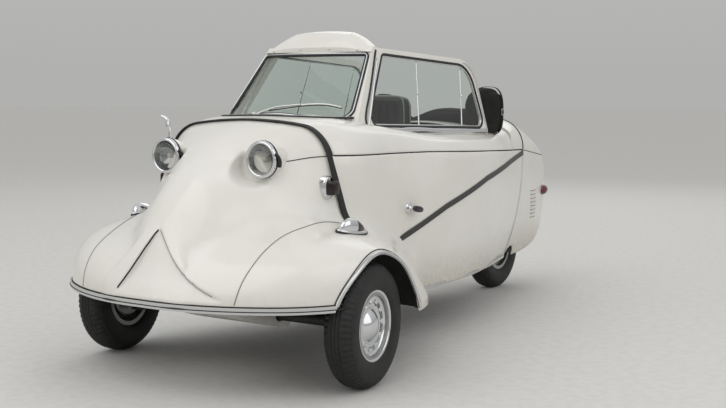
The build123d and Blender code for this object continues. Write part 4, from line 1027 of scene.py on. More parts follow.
def hoop_moulding():
    """A flat rubber band over the hoop. It follows the shell down each side, behind the side lamps, and
    ends under the lamps on the fenders."""
    top = meridians[0, :UPPER_POINTS]
    crown = top[top[:, 1] > 859]
    z = np.linspace(858, 532, 150)
    s = np.interp(-z, -HOOP_LINE[:, 1], HOOP_LINE[:, 0])
    s = np.convolve(np.pad(s, 10, mode="reflect", reflect_type="odd"), np.ones(21) / 21, mode="valid")
    points, _ = on_shell(np.stack([np.full(len(z), 340.0), s, z], -1))
    over = place(crown[:, 0], np.linspace(HOOP, s[0], len(crown)), crown[:, 1])
    half = resample(np.concatenate([over, points])[None], 150)[0]
    path = np.concatenate([half[::-1] * [-1, 1, 1], half[1:]])
    along = unit(np.gradient(path, axis=0))
    normal = unit(np.cross(along, [0.0, 1.0, 0.0]))
    normal *= np.sign((normal * (path - [0, HOOP * MM + FRONT_AXLE_Y, 0.45])).sum(1, keepdims=True))
    path = path + normal * 1.2 * MM
    piece = bead("hoop_moulding", path, 17.5 * MM, TYRE, "car", sides=20, flat=0.28, normal=normal)
    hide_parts("hoop_trim")
    return piece


hoop_moulding()


def apron_lines():
    """Two dark lines along the bright apron strip: one above it and one on its face."""
    turn = np.linspace(0.42, math.pi / 2, 140)
    for name, z, lift in (("apron_upper_line", 306.5, 1.0), ("apron_face_line", 293.0, 7.4)):
        r = nose_r(turn, np.full(len(turn), z)) + lift
        half = place(r * np.cos(turn), HOOP - r * np.sin(turn), np.full(len(turn), z))
        half = half[half[:, 1] < (-152 * MM + FRONT_AXLE_Y)]
        path = np.concatenate([half, half[::-1][1:] * [-1, 1, 1]])
        bead(name, path, 1.8 * MM, GAP_RUBBER_AND_SHADE, "car", sides=8)


apron_lines()
print("mouldings laid")

# %% [markdown]
# ## Canopy trim
# Windscreen and side windows are held by rubber channels with a bright filler cord let into them. The
# side windows are sliding panes, so two bright upright edges with small pulls stand behind each frame.

# %% Canopy surface and rounded outlines
def ring_level(z):
    """Corner half width, corner station, middle station and rear half width of the canopy at a height."""
    share = (z - 830.0) / 289.0
    return 306 - 65 * share, 307 + 205 * share, 164 + 330 * share, 300 - 32 * share


def screen_point(x, z):
    """Point on the curved windscreen plane."""
    corner_x, corner_s, middle_s, _ = ring_level(z)
    depth = corner_s - middle_s
    radius = (corner_x**2 + depth**2) / (2 * depth)
    return np.stack([x, middle_s + radius - np.sqrt(radius**2 - x**2), z], -1)


def window_point(s, z):
    """Point on the plane of the left side window."""
    corner_x, corner_s, _, rear_x = ring_level(z)
    return np.stack([corner_x + (rear_x - corner_x) * (s - corner_s) / (1400 - corner_s), s, z], -1)


def facing(surface, u, v, toward):
    """Outward normals of a surface (u, v) by differences; toward picks the side."""
    normal = unit(np.cross(surface(u + 1, v) - surface(u - 1, v), surface(u, v + 1) - surface(u, v - 1)))
    return normal * np.sign((normal * toward).sum(-1, keepdims=True))


def rounded_outline(corners, radii, count):
    """A closed polygon with a round at each corner, as evenly spaced points."""
    corners = np.asarray(corners, float)
    pieces = []
    for i, radius in enumerate(radii):
        back = unit(corners[i - 1] - corners[i])
        on = unit(corners[(i + 1) % len(corners)] - corners[i])
        half = math.acos(np.clip(back @ on, -1, 1)) / 2
        centre = corners[i] + unit(back + on) * radius / math.sin(half)
        start, end = corners[i] + back * radius / math.tan(half), corners[i] + on * radius / math.tan(half)
        u = np.linspace(0, 1, 24)[:, None]
        pieces.append(centre + radius * unit((start - centre) * (1 - u) + (end - centre) * u))
    loop = np.vstack(pieces + [pieces[0][:1]])
    return resample(loop[None], count + 1)[0][:-1]


def inset(outline, amount):
    """A closed outline moved inwards in its plane."""
    along = unit(np.roll(outline, -1, 0) - np.roll(outline, 1, 0))
    normal = np.stack([-along[:, 1], along[:, 0]], -1)
    inward = np.sign(((outline.mean(0) - outline) * normal).sum()) * normal
    return outline + inward * amount


print("canopy outlines ready")

# %% Windscreen and side window seals
SCREEN_OUTLINE = rounded_outline(
    [(-278, 862), (0, 886), (278, 862), (232, 1101), (-232, 1101)], [30, 900, 30, 14, 14], 260
)
WINDOW_OUTLINE = rounded_outline([(396, 843), (576, 1103), (1226, 1074), (1320, 817)], [34, 24, 130, 34], 260)
FRAME_OUTLINE = rounded_outline([(362, 800), (549, 1128), (1262, 1098), (1352, 790)], [4, 8, 150, 12], 260)


def screen_bead(name, outline, radius, material, lift, flat=1.0):
    """A closed bead on the windscreen plane."""
    x, z = outline.T
    normal = facing(screen_point, x, z, [0, -1, 0.3])
    path = place(*(screen_point(x, z) + normal * lift).T)
    return bead(name, path, radius * MM, material, "lid", sides=10, closed=True, flat=flat, normal=normal)


def window_beads(name, outline, radius, material, lift, closed, flat=1.0):
    """The same bead on both side windows."""
    s, z = outline.T
    normal = facing(window_point, s, z, [1, 0, 0.2])
    path = place(*(window_point(s, z) + normal * lift).T)
    for tag, side in SIDES:
        mirror = [side, 1, 1]
        bead(name + "_" + tag, path * mirror, radius * MM, material, "lid", sides=10, closed=closed, flat=flat,
             normal=normal * mirror)


screen_bead("screen_seal", inset(SCREEN_OUTLINE, -1.0), 9.0, SEAL, 0.0, 0.62)
screen_bead("screen_cord", inset(SCREEN_OUTLINE, -1.5), 2.6, CHROME, 4.6)
window_beads("window_seal", inset(WINDOW_OUTLINE, -2.0), 4.6, SEAL, 0.0, True, 0.7)
window_beads("window_channel", inset(WINDOW_OUTLINE, 4.0), 3.2, CHROME, -4.0, True, 0.8)
rail = inset(FRAME_OUTLINE, 8.0)
start = int(np.argmax((rail[:, 1] < 1092) & (np.roll(rail[:, 1], 1) >= 1092)))
rail = np.roll(rail, -start, 0)
rail = rail[rail[:, 1] < 1092]
window_beads("frame_rail", rail, 5.0, CHROME, 1.0, False, 0.8)
PILLAR_LINE = [(536, 1118), (480, 1025), (422, 934), (387, 880), (381, 858), (394, 833), (430, 820),
               (520, 815)]
window_beads("pillar_seal", smooth_path(PILLAR_LINE, 90), 3.6, SEAL, 1.5, False)
BELOW_RAIL = [(440, 812), (610, 811), (921, 804), (1150, 799), (1330, 795)]
window_beads("sill_seal", smooth_path(BELOW_RAIL, 60), 3.0, SEAL, 1.5, False)
BOTTOM_RAIL = [(408, 833), (430, 826), (610, 821), (921, 812), (1150, 806), (1330, 802)]
window_beads("bottom_rail", smooth_path(BOTTOM_RAIL, 90), 8.5, CHROME, 1.0, False, 0.5)
print("canopy seals laid")


# %% Sliding pane edges, pulls and header studs
def knob(name, where, axis, radius, body, material):
    """A small domed button: a quarter circle turned about an axis."""
    axis = unit(np.asarray(axis, float))
    across = unit(np.cross(axis, [0.3, 0.2, 1.0]))
    other = np.cross(axis, across)
    tilt = np.linspace(0, math.pi / 2, 7)[:, None, None]
    angle = np.linspace(0, 2 * np.pi, 20, endpoint=False)[None, :, None]
    around = np.cos(angle) * across + np.sin(angle) * other
    dome = radius * MM * (np.cos(tilt) * around + 0.7 * np.sin(tilt) * axis)
    points = (dome + np.asarray(where)).reshape(-1, 3)
    return mesh_piece(name, points, grid_faces(7, 20, close_columns=True), material, body)


# Foot, top and pull of each pane edge: station, height.
PANE_EDGES = ((764, 825), (819, 1088), (788, 960)), ((1121, 819), (1161, 1062), (1144, 949))


def pane_edges():
    """Two bright upright pane edges on each side, each with a pull."""
    for number, (low, high, pull) in enumerate(PANE_EDGES):
        line = np.stack([np.linspace(low[0], high[0], 20), np.linspace(low[1], high[1], 20)], -1)
        window_beads("pane_edge_%d" % number, line, 4.5, CHROME, -4.5, False, 0.5)
        at = window_point(np.array([float(pull[0])]), np.array([float(pull[1])]))[0]
        for tag, side in SIDES:
            where = place(side * (at[0] - 2.0), at[1], at[2])
            knob("pane_pull_%d_%s" % (number, tag), where, (side, 0, 0.2), 7.0, "lid", CHROME)


def header_studs():
    """Four press studs along the front edge of the header, for a sun blind."""
    for number, (x, z) in enumerate(((-192, 1118), (-66, 1124), (66, 1124), (192, 1118))):
        knob("header_stud_%d" % number, place(x, 487.5, z), (0, -1, 0.2), 4.2, "lid", CHROME)


pane_edges()
header_studs()
print("pane edges and studs laid")

# %% Rubber along the foot of the screen
def lid_height(x, s):
    """Height of the lid's surface at a plan position, from its nearest cross-section."""
    heights = []
    for across, station in zip(np.abs(x), s):
        curve = LID_CURVES[int(np.argmin(np.abs(LID_ROWS - station)))]
        heights.append(np.interp(across, curve[:90, 0], curve[:90, 1]))
    return np.array(heights)


# Where the screen meets the cowl on the left half: across, station.
COWL_LINE = [(0, 176), (61, 177), (123, 183), (180, 197), (225, 222), (256, 254), (276, 290), (286, 322)]


def cowl_foot():
    """The line where the screen meets the cowl, from right to left, averaged over 13 points."""
    half = smooth_path(COWL_LINE, 160)
    x, s = np.concatenate([half[:0:-1] * [-1, 1], half]).T
    foot = place(x, s, lid_height(x, s))
    even = np.ones(13) / 13
    return np.stack([np.convolve(np.pad(c, 6, mode="edge"), even, mode="valid") for c in foot.T], -1)


foot = cowl_foot()
bead("cowl_rubber", foot + [0, 0, 1 * MM], 7.5 * MM, SEAL, "lid", sides=14, flat=0.5)
bead("cowl_cord", foot + [0, 9 * MM, 3 * MM], 2.6 * MM, ALUMINIUM, "lid", sides=10)
print("cowl rubber over", len(foot), "points")


# %% [markdown]
# ## Wheels and tyres
# Cross-ply tyres have a narrow, nearly round section with a ribbed tread. The wheels are pressed discs
# under a bright cover that fills the rim, with a dome over the hub and a flared ring outside it.

# %% Turned pieces
def turned(name, profile, origin, axis, material, body, sides=72, wave=None, closed=False):
    """A profile of (distance along the axis, radius) in millimetres turned about an axis through a point.
    wave maps each (distance, radius, angle) to a new distance and radius."""
    axis = unit(np.asarray(axis, float))
    across = unit(np.cross(axis, [0.0, 0.0, 1.0]))
    other = np.cross(axis, across)
    profile = np.asarray(profile, float)
    angle = np.linspace(0, 2 * np.pi, sides, endpoint=False)[None, :]
    t, r = profile[:, :1] + 0 * angle, profile[:, 1:] + 0 * angle
    if wave is not None:
        t, r = wave(t, r, angle)
    t, r = t[..., None] * MM, r[..., None] * MM
    around = np.cos(angle)[..., None] * across + np.sin(angle)[..., None] * other
    faces = grid_faces(len(profile), sides, close_rows=closed, close_columns=True)
    return mesh_piece(name, np.asarray(origin) + t * axis + r * around, faces, material, body)


# The front wheels stand turned as in the photograph.
TURN = math.radians(6.0)
COSINE, SINE = math.cos(TURN), math.sin(TURN)
WHEELS = [
    ("front_left", "front_left_wheel", (0.5336056, -0.9324740, 0.207), (COSINE, SINE, 0.0)),
    ("front_right", "front_right_wheel", (-0.5336056, -0.9475260, 0.207), (-COSINE, -SINE, 0.0)),
    ("rear", "rear_wheel", (0.0, 1.087, 0.207), (1.0, 0.0, 0.0)),
]
TYRE_SIDE = [(0, 207), (14, 206.4), (25, 204.6), (34, 200.6), (42, 194), (48.5, 183), (52.6, 168),
             (53.4, 155), (52, 140), (48, 127), (41, 116), (36.5, 110), (33, 105)]


def tread(t, r, angle):
    """Two zigzag grooves round the crown, a straight one between them, slots across each shoulder, and
    fine rings on the sidewall."""
    zigzag = 13.0 + 2.2 * (np.abs((angle * 45 / np.pi) % 2 - 1) - 0.5)
    crown = r > 190
    grooves = np.exp(-(((np.abs(t) - zigzag) / 2.2) ** 4)) + np.exp(-((t / 1.8) ** 4))
    slots = np.exp(-((((angle * 32 / np.pi) % 1 - 0.5) / 0.17) ** 4)) * (np.abs(t) > 22) * (r > 186)
    rings = sum(np.exp(-(((r - at) / wide) ** 2)) for at, wide in ((178, 1.3), (122, 1.5), (170, 0.9)))
    cut = 4.6 * np.clip(grooves * crown + 0.8 * slots, 0, 1)
    return t * (1 + 0.016 * rings * (r < 186)), r - cut


def tyre_piece(name, body, centre, axis):
    """One tyre: its section drawn as a closed loop, with the tread cut in."""
    side = smooth_path(TYRE_SIDE, 74)
    loop = np.vstack([side[::-1] * [-1, 1], side[1:], [[30, 104], [-30, 104]]])
    piece = turned("tyre_dressed_" + name, loop, centre, axis, TYRE, body, sides=320, wave=tread, closed=True)
    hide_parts("tyre_" + name)
    return piece


def cover_ripples(t, r, angle):
    """Twelve shallow hollows pressed into the flat of the wheel cover."""
    hollow = np.exp(-(((r - 79) / 7.0) ** 2)) * np.clip(np.cos(12 * angle), 0, 1)
    return t - 5.0 * hollow, r


COVER = [(33, 116), (39, 118.5), (43, 117), (42.5, 112.5), (37, 106), (30, 100), (25, 93), (23.5, 86), (24, 78),
         (26, 70), (25, 62), (23, 56), (27, 50), (35, 40), (41.5, 28), (45, 14), (46, 0)]


def wheel_cover(name, body, centre, axis):
    """The bright cover of a front wheel: rim flange, flared ring, flat with hollows, and hub dome."""
    piece = turned("wheel_cover_" + name, smooth_path(COVER, 90), centre, axis, CHROME, body, sides=144,
                   wave=cover_ripples)
    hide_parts("hubcap_" + name)
    return piece


for name, body, centre, axis in WHEELS:
    tyre_piece(name, body, centre, axis)
    if name != "rear":
        wheel_cover(name, body, centre, axis)
HUB_CAP = [(26, 31), (31, 30), (38, 24), (42, 12), (43, 0)]
turned("rear_hub_cap", smooth_path(HUB_CAP, 30), WHEELS[2][2], (1, 0, 0), CHROME, "rear_wheel", sides=48)
print("tyres and covers turned")

# %% [markdown]
# ## Lamps
# The headlamps sit in body-coloured pods with a plated rim, a silvered bowl and a fluted glass. The
# side lamp is a square lens on an oval bezel, and the lamps on the fenders are plated teardrops.

# %% Headlamps
def flutes(t, r, angle):
    """Upright flutes 6.5 mm apart pressed into a headlamp's glass."""
    return t - 0.7 * np.cos(2 * np.pi * r * np.cos(angle) / 6.5) * (r < 47), r


def headlamp_set(tag, side):
    """Pod, rubber ring, rim, bowl, bulb and fluted glass of one headlamp, all about an axis along the car."""
    origin = place(side * LAMP_CENTRE[0], -106.0, LAMP_CENTRE[1])

    def part(kind, profile, material, **more):
        return turned("lamp_%s_%s" % (kind, tag), profile, origin, (0, 1, 0), material, "car", **more)

    pod = smooth_path([(2, 57), (20, 57.5), (50, 52), (90, 40), (130, 24), (160, 9), (166, 0)], 40)
    rim = smooth_path([(3, 60), (-4, 62.3), (-11, 61), (-15, 56.5), (-13, 51.5), (-8, 50)], 28)
    bowl = smooth_path([(-8, 51), (6, 46), (22, 34), (32, 20), (36, 8), (36, 0)], 30)
    bulb = smooth_path([(34, 9), (18, 9), (8, 7), (3, 0)], 16)
    glass = smooth_path([(-9, 51), (-15, 46), (-21, 36), (-25, 22), (-27, 8), (-27.3, 0)], 44)
    housing = part("pod", pod, ENAMEL)
    part("seal", [(0, 58), (6, 58), (8, 61), (5, 63), (0, 62.5)], SEAL, closed=True)
    part("rim", rim, CHROME, sides=96)
    part("bowl", bowl, REFLECTOR)
    part("bulb", bulb, FROSTED, sides=32)
    lens = part("glass", glass, LAMP_GLASS, sides=160, wave=flutes)
    clip = np.array([(60, -10, 20), (67, -3, 10), (67.5, 4, -10), (62, 10, -22)]) * MM
    bead("lamp_clip_" + tag, smooth_path(origin + clip, 16), 7 * MM, SEAL, "car", sides=12, flat=0.8)
    return housing, lens


REFLECTOR = bright_metal("lamp_reflector", "#9b9d9f", 0.10)
FROSTED = finish("frosted_bulb", "#e8e6df", Roughness=0.5, Transmission_Weight=0.3)
DARK_LENS = rubber("deep_red_lens", "#190304", "#240607", 0.12)
for tag, side in SIDES:
    housing, lens = headlamp_set(tag, side)
    if side > 0:
        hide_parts("headlamps")
        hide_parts("headlamp_lenses")
print("headlamps built")


# %% Side lamps
def powered(value, power):
    """Values raised to a power with their signs kept."""
    return np.sign(value) * np.abs(value) ** power


def superellipse(high, wide, power, count=72):
    """Closed outline (count, 2) of half sizes wide and high; power 2 is an ellipse, more is squarer."""
    angle = np.linspace(0, 2 * np.pi, count, endpoint=False)
    return np.stack([wide * powered(np.cos(angle), 2 / power), high * powered(np.sin(angle), 2 / power)], -1)


def stacked(name, outline, steps, frame_at, material, body):
    """Copies of an outline, raised and scaled as each (height, scale) step says, joined to a closed form in
    a local frame of (origin, across, up, out)."""
    origin, across, up, out = (np.asarray(v, float) for v in frame_at)
    rings = []
    for height, scale in steps:
        flat = outline * scale
        rings.append(origin + MM * (flat[:, :1] * across + flat[:, 1:] * up + height * out))
    rings.append(np.broadcast_to(origin + MM * steps[-1][0] * out, rings[0].shape))
    faces = grid_faces(len(rings), len(outline), close_columns=True)
    return mesh_piece(name, np.array(rings), faces, material, body)


def side_lamp_set(tag, side):
    """Oval plated bezel and square red lens, just ahead of the hoop."""
    point, _ = on_shell([(side * 350.0, 66.0, 643.0)])
    frame_at = (point[0], (0, 1, 0), (0, 0, 1), (side, 0, 0))
    bezel_steps = [(-22, 1.0), (1, 1.0), (6, 0.97), (9.5, 0.9), (11, 0.8), (10, 0.72)]
    lens_steps = [(4, 1.0), (26, 1.0), (32, 0.97), (36, 0.9), (38.5, 0.75), (39.5, 0.5), (40, 0.25)]
    stacked("side_bezel_" + tag, superellipse(41, 25, 2.6), bezel_steps, frame_at, CHROME, "car")
    return stacked("side_lens_" + tag, superellipse(25, 21, 4.5), lens_steps, frame_at, DARK_LENS, "car")


for tag, side in SIDES:
    lens = side_lamp_set(tag, side)
    if side > 0:
        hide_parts("side_lamps")
print("side lamps built")


# %% Fender lamps
def shell_height(x, s):
    """Height of the fender at a plan position, from the bearing table."""
    turn, reach = math.atan2(max(HOOP - s, 0), x), math.hypot(x, max(HOOP - s, 0))
    z = np.arange(300.0, 700.0, 1.0)
    r = nose_r(np.full(len(z), turn), z) if s < HOOP else flank_x(np.full(len(z), s), z)
    return float(np.interp(-reach, -np.maximum.accumulate(r[::-1])[::-1], z))


LAMP_X, LAMP_S = 455.0, 44.0


def fender_lamp_set(tag, side):
    """Oval plate on a rubber pad, a plated teardrop, and a dark lens that forms its tail."""
    z = shell_height(LAMP_X, LAMP_S)
    point, normal = on_shell([(LAMP_X, LAMP_S, z)])
    normal, along = normal[0], unit(np.cross([1.0, 0.0, 0.0], normal[0]))
    along = along * np.sign(along[1])
    across = np.cross(along, normal)
    across = across * np.sign(across[0])
    flip = np.array([side, 1, 1])
    frame_at = ((point[0] + 0.012 * along) * flip, along * flip, across * flip, normal * flip)
    outline = superellipse(30, 84, 1.9)
    pad_steps, plate_steps = [(-16, 1.0), (1.5, 1.0), (2.5, 0.98)], [(0, 1.0), (5, 1.0), (8, 0.94), (9, 0.86)]
    stacked("fender_lamp_pad_" + tag, outline * 1.05, pad_steps, frame_at, SEAL, "car")
    stacked("fender_lamp_plate_" + tag, outline, plate_steps, frame_at, CHROME, "car")

    def teardrop(name, start, stop, swell, material):
        """Half rings along the lamp: rounded in front, sloping down to a point behind."""
        u = np.linspace(start, stop, 30)
        front, narrow = (np.sqrt(np.clip(1 - (1 - u / share) ** 2, 0, 1)) for share in (0.28, 0.4))
        rise = np.where(u < 0.28, front, 1 - ((u - 0.28) / 0.72) ** 2.0)
        width = np.where(u < 0.4, narrow, 1 - np.clip((u - 0.4) / 0.6, 0, 1) ** 2.4)
        angle = np.linspace(0, np.pi, 24)
        origin, e_s, e_x, e_n = frame_at
        points = (
            origin
            + MM * ((u - 0.5) * 152)[:, None, None] * e_s
            + MM * (swell * 25 * width[:, None] * np.cos(angle))[..., None] * e_x
            + MM * (6 + swell * 40 * rise[:, None] * np.sin(angle) ** 0.9)[..., None] * e_n
        )
        points = np.concatenate([points, (points[:, :1] + points[:, -1:]) / 2], axis=1)
        ends = [list(range(25)), list(range(29 * 25, 30 * 25))]
        faces = [list(f) for f in grid_faces(30, 25, close_columns=True)] + ends
        return mesh_piece(name, points, faces, material, "car")

    body = teardrop("fender_lamp_body_" + tag, 0.0, 0.47, 1.0, CHROME)
    teardrop("fender_lamp_lens_" + tag, 0.465, 0.995, 0.98, DARK_LENS)
    return body


bodies = [fender_lamp_set(tag, side) for tag, side in SIDES]
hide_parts("fender_lamps")
print("fender lamps built")

# %% [markdown]
# ## Small fittings
# The lock handle stands off the flank on a plated rose. A wiper lies across the foot of the screen, a
# small mirror stands on the right lamp pod, and pressed louvres let the engine's heat out.

# %% Handle, mirror, wiper, louvres and arch beads
def handle_set():
    """Plated rose, stem and oval grip on the left flank."""
    point, _ = on_shell([(401.0, 512.0, 541.0)])
    rose = smooth_path([(-3, 21), (2, 21), (6, 18), (9, 11), (14, 8), (26, 7)], 26)
    turned("handle_rose", rose, point[0], (1, 0, 0), CHROME, "car", sides=48)
    frame_at = (point[0] + np.array([0.024, 0.022, -0.004]), (0, 0.985, -0.17), (0, 0.17, 0.985), (1, 0, 0))
    steps = [(0, 0.5), (1, 0.85), (4, 1.0), (8, 0.96), (11, 0.8), (12.5, 0.5)]
    grip = stacked("handle_grip", superellipse(12, 38, 2.4), steps, frame_at, GRIP_DARK_REFLECTION, "car")
    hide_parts("lock_handle")


def mirror_set():
    """Round mirror seen almost edge-on, on a bent plated stalk."""
    knots = [(-238, 788), (-238, 809), (-239, 834), (-245, 858), (-260, 871), (-278, 876)]
    stalk = place(*np.array([(x, -60, z) for x, z in knots], float).T)
    bead("mirror_stalk", smooth_path(stalk, 40), 5.6 * MM, CHROME, "car", sides=14)
    face_axis = unit(np.array([0.72, 0.69, 0.04]))
    rim = smooth_path([(3, 0), (3.5, 14), (3, 22), (0, 25), (-4, 23), (-9, 14), (-11, 0)], 40)
    head = turned("mirror_head", rim, place(-243.0, -60.0, 842.0), face_axis, CHROME, "car", sides=48)
    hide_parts("mirror")


def wiper_set():
    """Arm and blade lying on the screen, drawn in the screen's own (x, height)."""
    def on_screen(knots, lift, count):
        knots = smooth_path(knots, count)
        normal = facing(screen_point, knots[:, 0], knots[:, 1], [0, -1, 0.3])
        return place(*(screen_point(knots[:, 0], knots[:, 1]) + normal * lift).T)

    arm = on_screen([(-64, 868), (-50, 877), (-28, 886), (8, 897), (60, 904), (100, 908)], 13.0, 40)
    piece = bead("wiper_arm", arm, 6.5 * MM, ALUMINIUM, "lid", sides=14, flat=0.6)
    blade = [(-22, 891), (40, 901), (100, 909), (150, 913), (196, 911), (238, 902)]
    bead("wiper_blade", on_screen(blade, 9.0, 60), 3.6 * MM, ALUMINIUM, "lid", sides=10)
    bead("wiper_rubber", on_screen(blade, 4.0, 60), 2.4 * MM, SEAL, "lid", sides=8)
    spindle = smooth_path([(-20, 9), (12, 9), (18, 7), (20, 0)], 16)
    turned("wiper_spindle", spindle, place(-66.0, 204.0, 872.0), (0, -0.45, 0.9), ALUMINIUM, "lid", sides=32)
    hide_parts("wiper")


def louvre_column():
    """Eight pressed louvres on each side of the tail cover, each a tapered swelling over a dark bead of painted
    shadow.
    """
    for i in range(8):
        share = i / 7
        s = np.linspace(2026 + 62 * share, 2128 + 40 * share, 22)
        z = np.full(22, 494.0 - 136 * share)
        x = np.sqrt(np.maximum(body_x2(s, z), 0))
        taper = np.sqrt(np.clip(1 - np.linspace(-1, 1, 22) ** 4, 0.02, 1))
        x_low = np.sqrt(np.maximum(body_x2(s, z - 6.5), 0))
        for tag, side in SIDES:
            swell, slot = place(side * x, s, z), place(side * x_low, s, z - 6.5)
            bead("louvre_%d_%s" % (i, tag), swell, 5.5 * MM * taper, ENAMEL, "tail", sides=10)
            # Painted shadow: a dark bead under each louvre's lip stands in for the shade in its opening.
            bead("louvre_slot_%d_%s" % (i, tag), slot, 1.5 * MM * taper, GAP_RUBBER_AND_SHADE, "tail", sides=6)


def arch_beads():
    """Bright beading round each front wheel arch with a dark line beside it."""
    front, rear = (math.asin((z - ARCH_Z) / (ARCH_R + 5)) for z in (300.0, 232.0))
    angle = np.linspace(math.pi - front, rear, 150)
    for name, reach, lift, radius, flat, material in (
        ("arch_bead", 4.0, 1.5, 7.0, 0.7, ALUMINIUM), ("arch_line", 13.5, 0.5, 1.9, 1.0, GAP_RUBBER_AND_SHADE)
    ):
        s = ARCH_S + (ARCH_R + reach) * np.cos(angle)
        z = ARCH_Z + (ARCH_R + reach) * np.sin(angle)
        x = np.full(len(s), 585.0)
        for _ in range(8):
            turn = np.arctan2(np.maximum(HOOP - s, 0), x)
            on_nose = np.sqrt(np.maximum(nose_r(turn, z) ** 2 - (HOOP - s) ** 2, 1))
            x = np.where(s < HOOP, on_nose, flank_x(np.maximum(s, HOOP), z))
        guide = np.stack([x, s, z], -1)
        for tag, side in SIDES:
            points, normals = on_shell(guide * [side, 1, 1], lift)
            piece = bead("%s_%s" % (name, tag), points, radius * MM, material, "car", sides=12, flat=flat,
                         normal=normals)
            if name == "arch_bead" and side > 0:
                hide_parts("arch_trims")


# Painted reflection: the plated grip is given a dark metal colour, which stands in for the dark surroundings it
# mirrors.
GRIP_DARK_REFLECTION = bright_metal("plated_grip_painted_dark_reflection", "#4c4c4e", 0.16)
handle_set()
mirror_set()
wiper_set()
louvre_column()
arch_beads()
print("fittings built")

# %% [markdown]
# ## Soft goods
# The seats are dark leathercloth over stuffing: crowned pads with sewn flutes, a boxed side and pale
# piping. The folded hood is a thick roll of cloth that stands up in an ear at each side and sags low
# across the back, so the view through the windows stays clear, as in the photograph.

# %% Leathercloth and hood cloth
def leathercloth(name, base, worn):
    """Coated cloth: a pressed grain of 1.6 mm, worn paler in patches of 40 mm."""
    return surface(name, base, worn, (40.0, 4.0, 0.5, 0.75), (1.6, 2.0, 0.2, 0.5), Roughness=0.42, IOR=1.48)


def woven_cloth(name, base, faded, pitch_mm):
    """Canvas: two crossed sets of threads, each pitch_mm apart, faded in streaks of about 60 mm."""
    material = surface(name, base, faded, (60.0, 5.0, 0.42, 0.8), Roughness=0.9, IOR=1.4)
    tree = material.node_tree
    where = add(tree, "ShaderNodeTexCoord").outputs["Object"]
    waves = {"Vector": where, "Scale": 2 * math.pi / (20 * pitch_mm * MM)}
    warp, weft = (add(tree, "ShaderNodeTexWave", waves, bands_direction=d).outputs[1] for d in ("X", "Z"))
    crossed = add(tree, "ShaderNodeMath", {0: warp, 1: weft}, operation="MAXIMUM").outputs[0]
    relief = add(tree, "ShaderNodeBump", {"Height": crossed, "Distance": 0.25 * MM, "Strength": 0.5})
    tree.links.new(relief.outputs[0], tree.nodes["Principled BSDF"].inputs["Normal"])
    return material


LEATHER = leathercloth("seat_leathercloth", "#1b1a19", "#2c2a27")
PIPING = leathercloth("seat_piping", "#8f8b82", "#77736a")
CANVAS = woven_cloth("hood_canvas", "#161615", "#262522", 1.4)
WEBBING = woven_cloth("hood_strap_webbing", "#b9b5aa", "#9c988d", 2.0)
print("cloths ready")


# %% Seat pads
def edge_knots(share, middle):
    """Positions from -1 to 1, evenly spaced in the middle and crowded towards both ends, where a rounded
    edge covers the given share: x = (1 - share) + share * sin(angle)."""
    angle = np.linspace(0, np.pi / 2, 9)
    end = (1 - share) + share * np.sin(angle)
    inner = np.linspace(-(1 - share), 1 - share, middle)
    return np.concatenate([-end[:0:-1], inner, end[1:]])


def pad_grid(start, end, widths, thick, roll, flutes):
    """Front and back faces of a pad between two points of the side view, as points (along, across, 3).
    The face rolls over at its edges: level = thick / 2 - roll * (1 - sqrt(1 - e^2)), where e is 0 on the
    flat and 1 at the rim. Each flute between two stitch lines puffs up as the square root of a circle."""
    start, end = np.array(start, float), np.array(end, float)
    length = np.linalg.norm(end - start)
    along = (end - start) / length
    out = np.array([-along[1], along[0]])
    width = max(widths)
    across, run = np.meshgrid(edge_knots(roll / width, 121), edge_knots(2 * roll / length, 61))
    half = np.interp(run, np.linspace(-1, 1, len(widths)), widths)
    x = half * across * (1 - 0.07 * np.abs(run) ** 10)
    y = length / 2 * run * (1 - 0.05 * np.abs(across) ** 10)
    ex = np.clip((np.abs(across) - 1) * width / roll + 1, 0, 1)
    ey = np.clip((np.abs(run) - 1) * length / 2 / roll + 1, 0, 1)
    e = np.clip((ex ** 2.6 + ey ** 2.6) ** (1 / 2.6), 0, 1)
    level = thick / 2 - roll * (1 - np.sqrt(np.clip(1 - e * e, 0, 1)))
    crown = (1 - across ** 2) * (1 - run ** 2)
    lane = (across / 0.74 + 1) / 2 * flutes
    inside = np.clip((0.76 - np.abs(across)) / 0.04, 0, 1) * np.clip((0.86 - np.abs(run)) / 0.05, 0, 1)
    puff = np.sqrt(np.clip(1 - (2 * (lane % 1) - 1) ** 2, 0, 1))
    pucker = np.sin(run * length / 2 / 9 + 2.1 * np.floor(lane)) * (1 - puff) ** 2
    face = level + 7 * crown + inside * (6.5 * (puff - 1) + 0.9 * pucker)
    creases = sum(np.sin(k * across * 3.1 + m * run * 2.3 + k * m) for k, m in ((2, 3), (3, -4), (5, 2))) / 3
    face += 1.6 * creases * (1 - e)
    back = -(level + 3 * crown)

    def at(rise):
        middle = (start + end) / 2
        s = middle[0] + along[0] * y + out[0] * rise
        z = middle[1] + along[1] * y + out[1] * rise
        return place(x, s, z)

    return at(face), at(back)


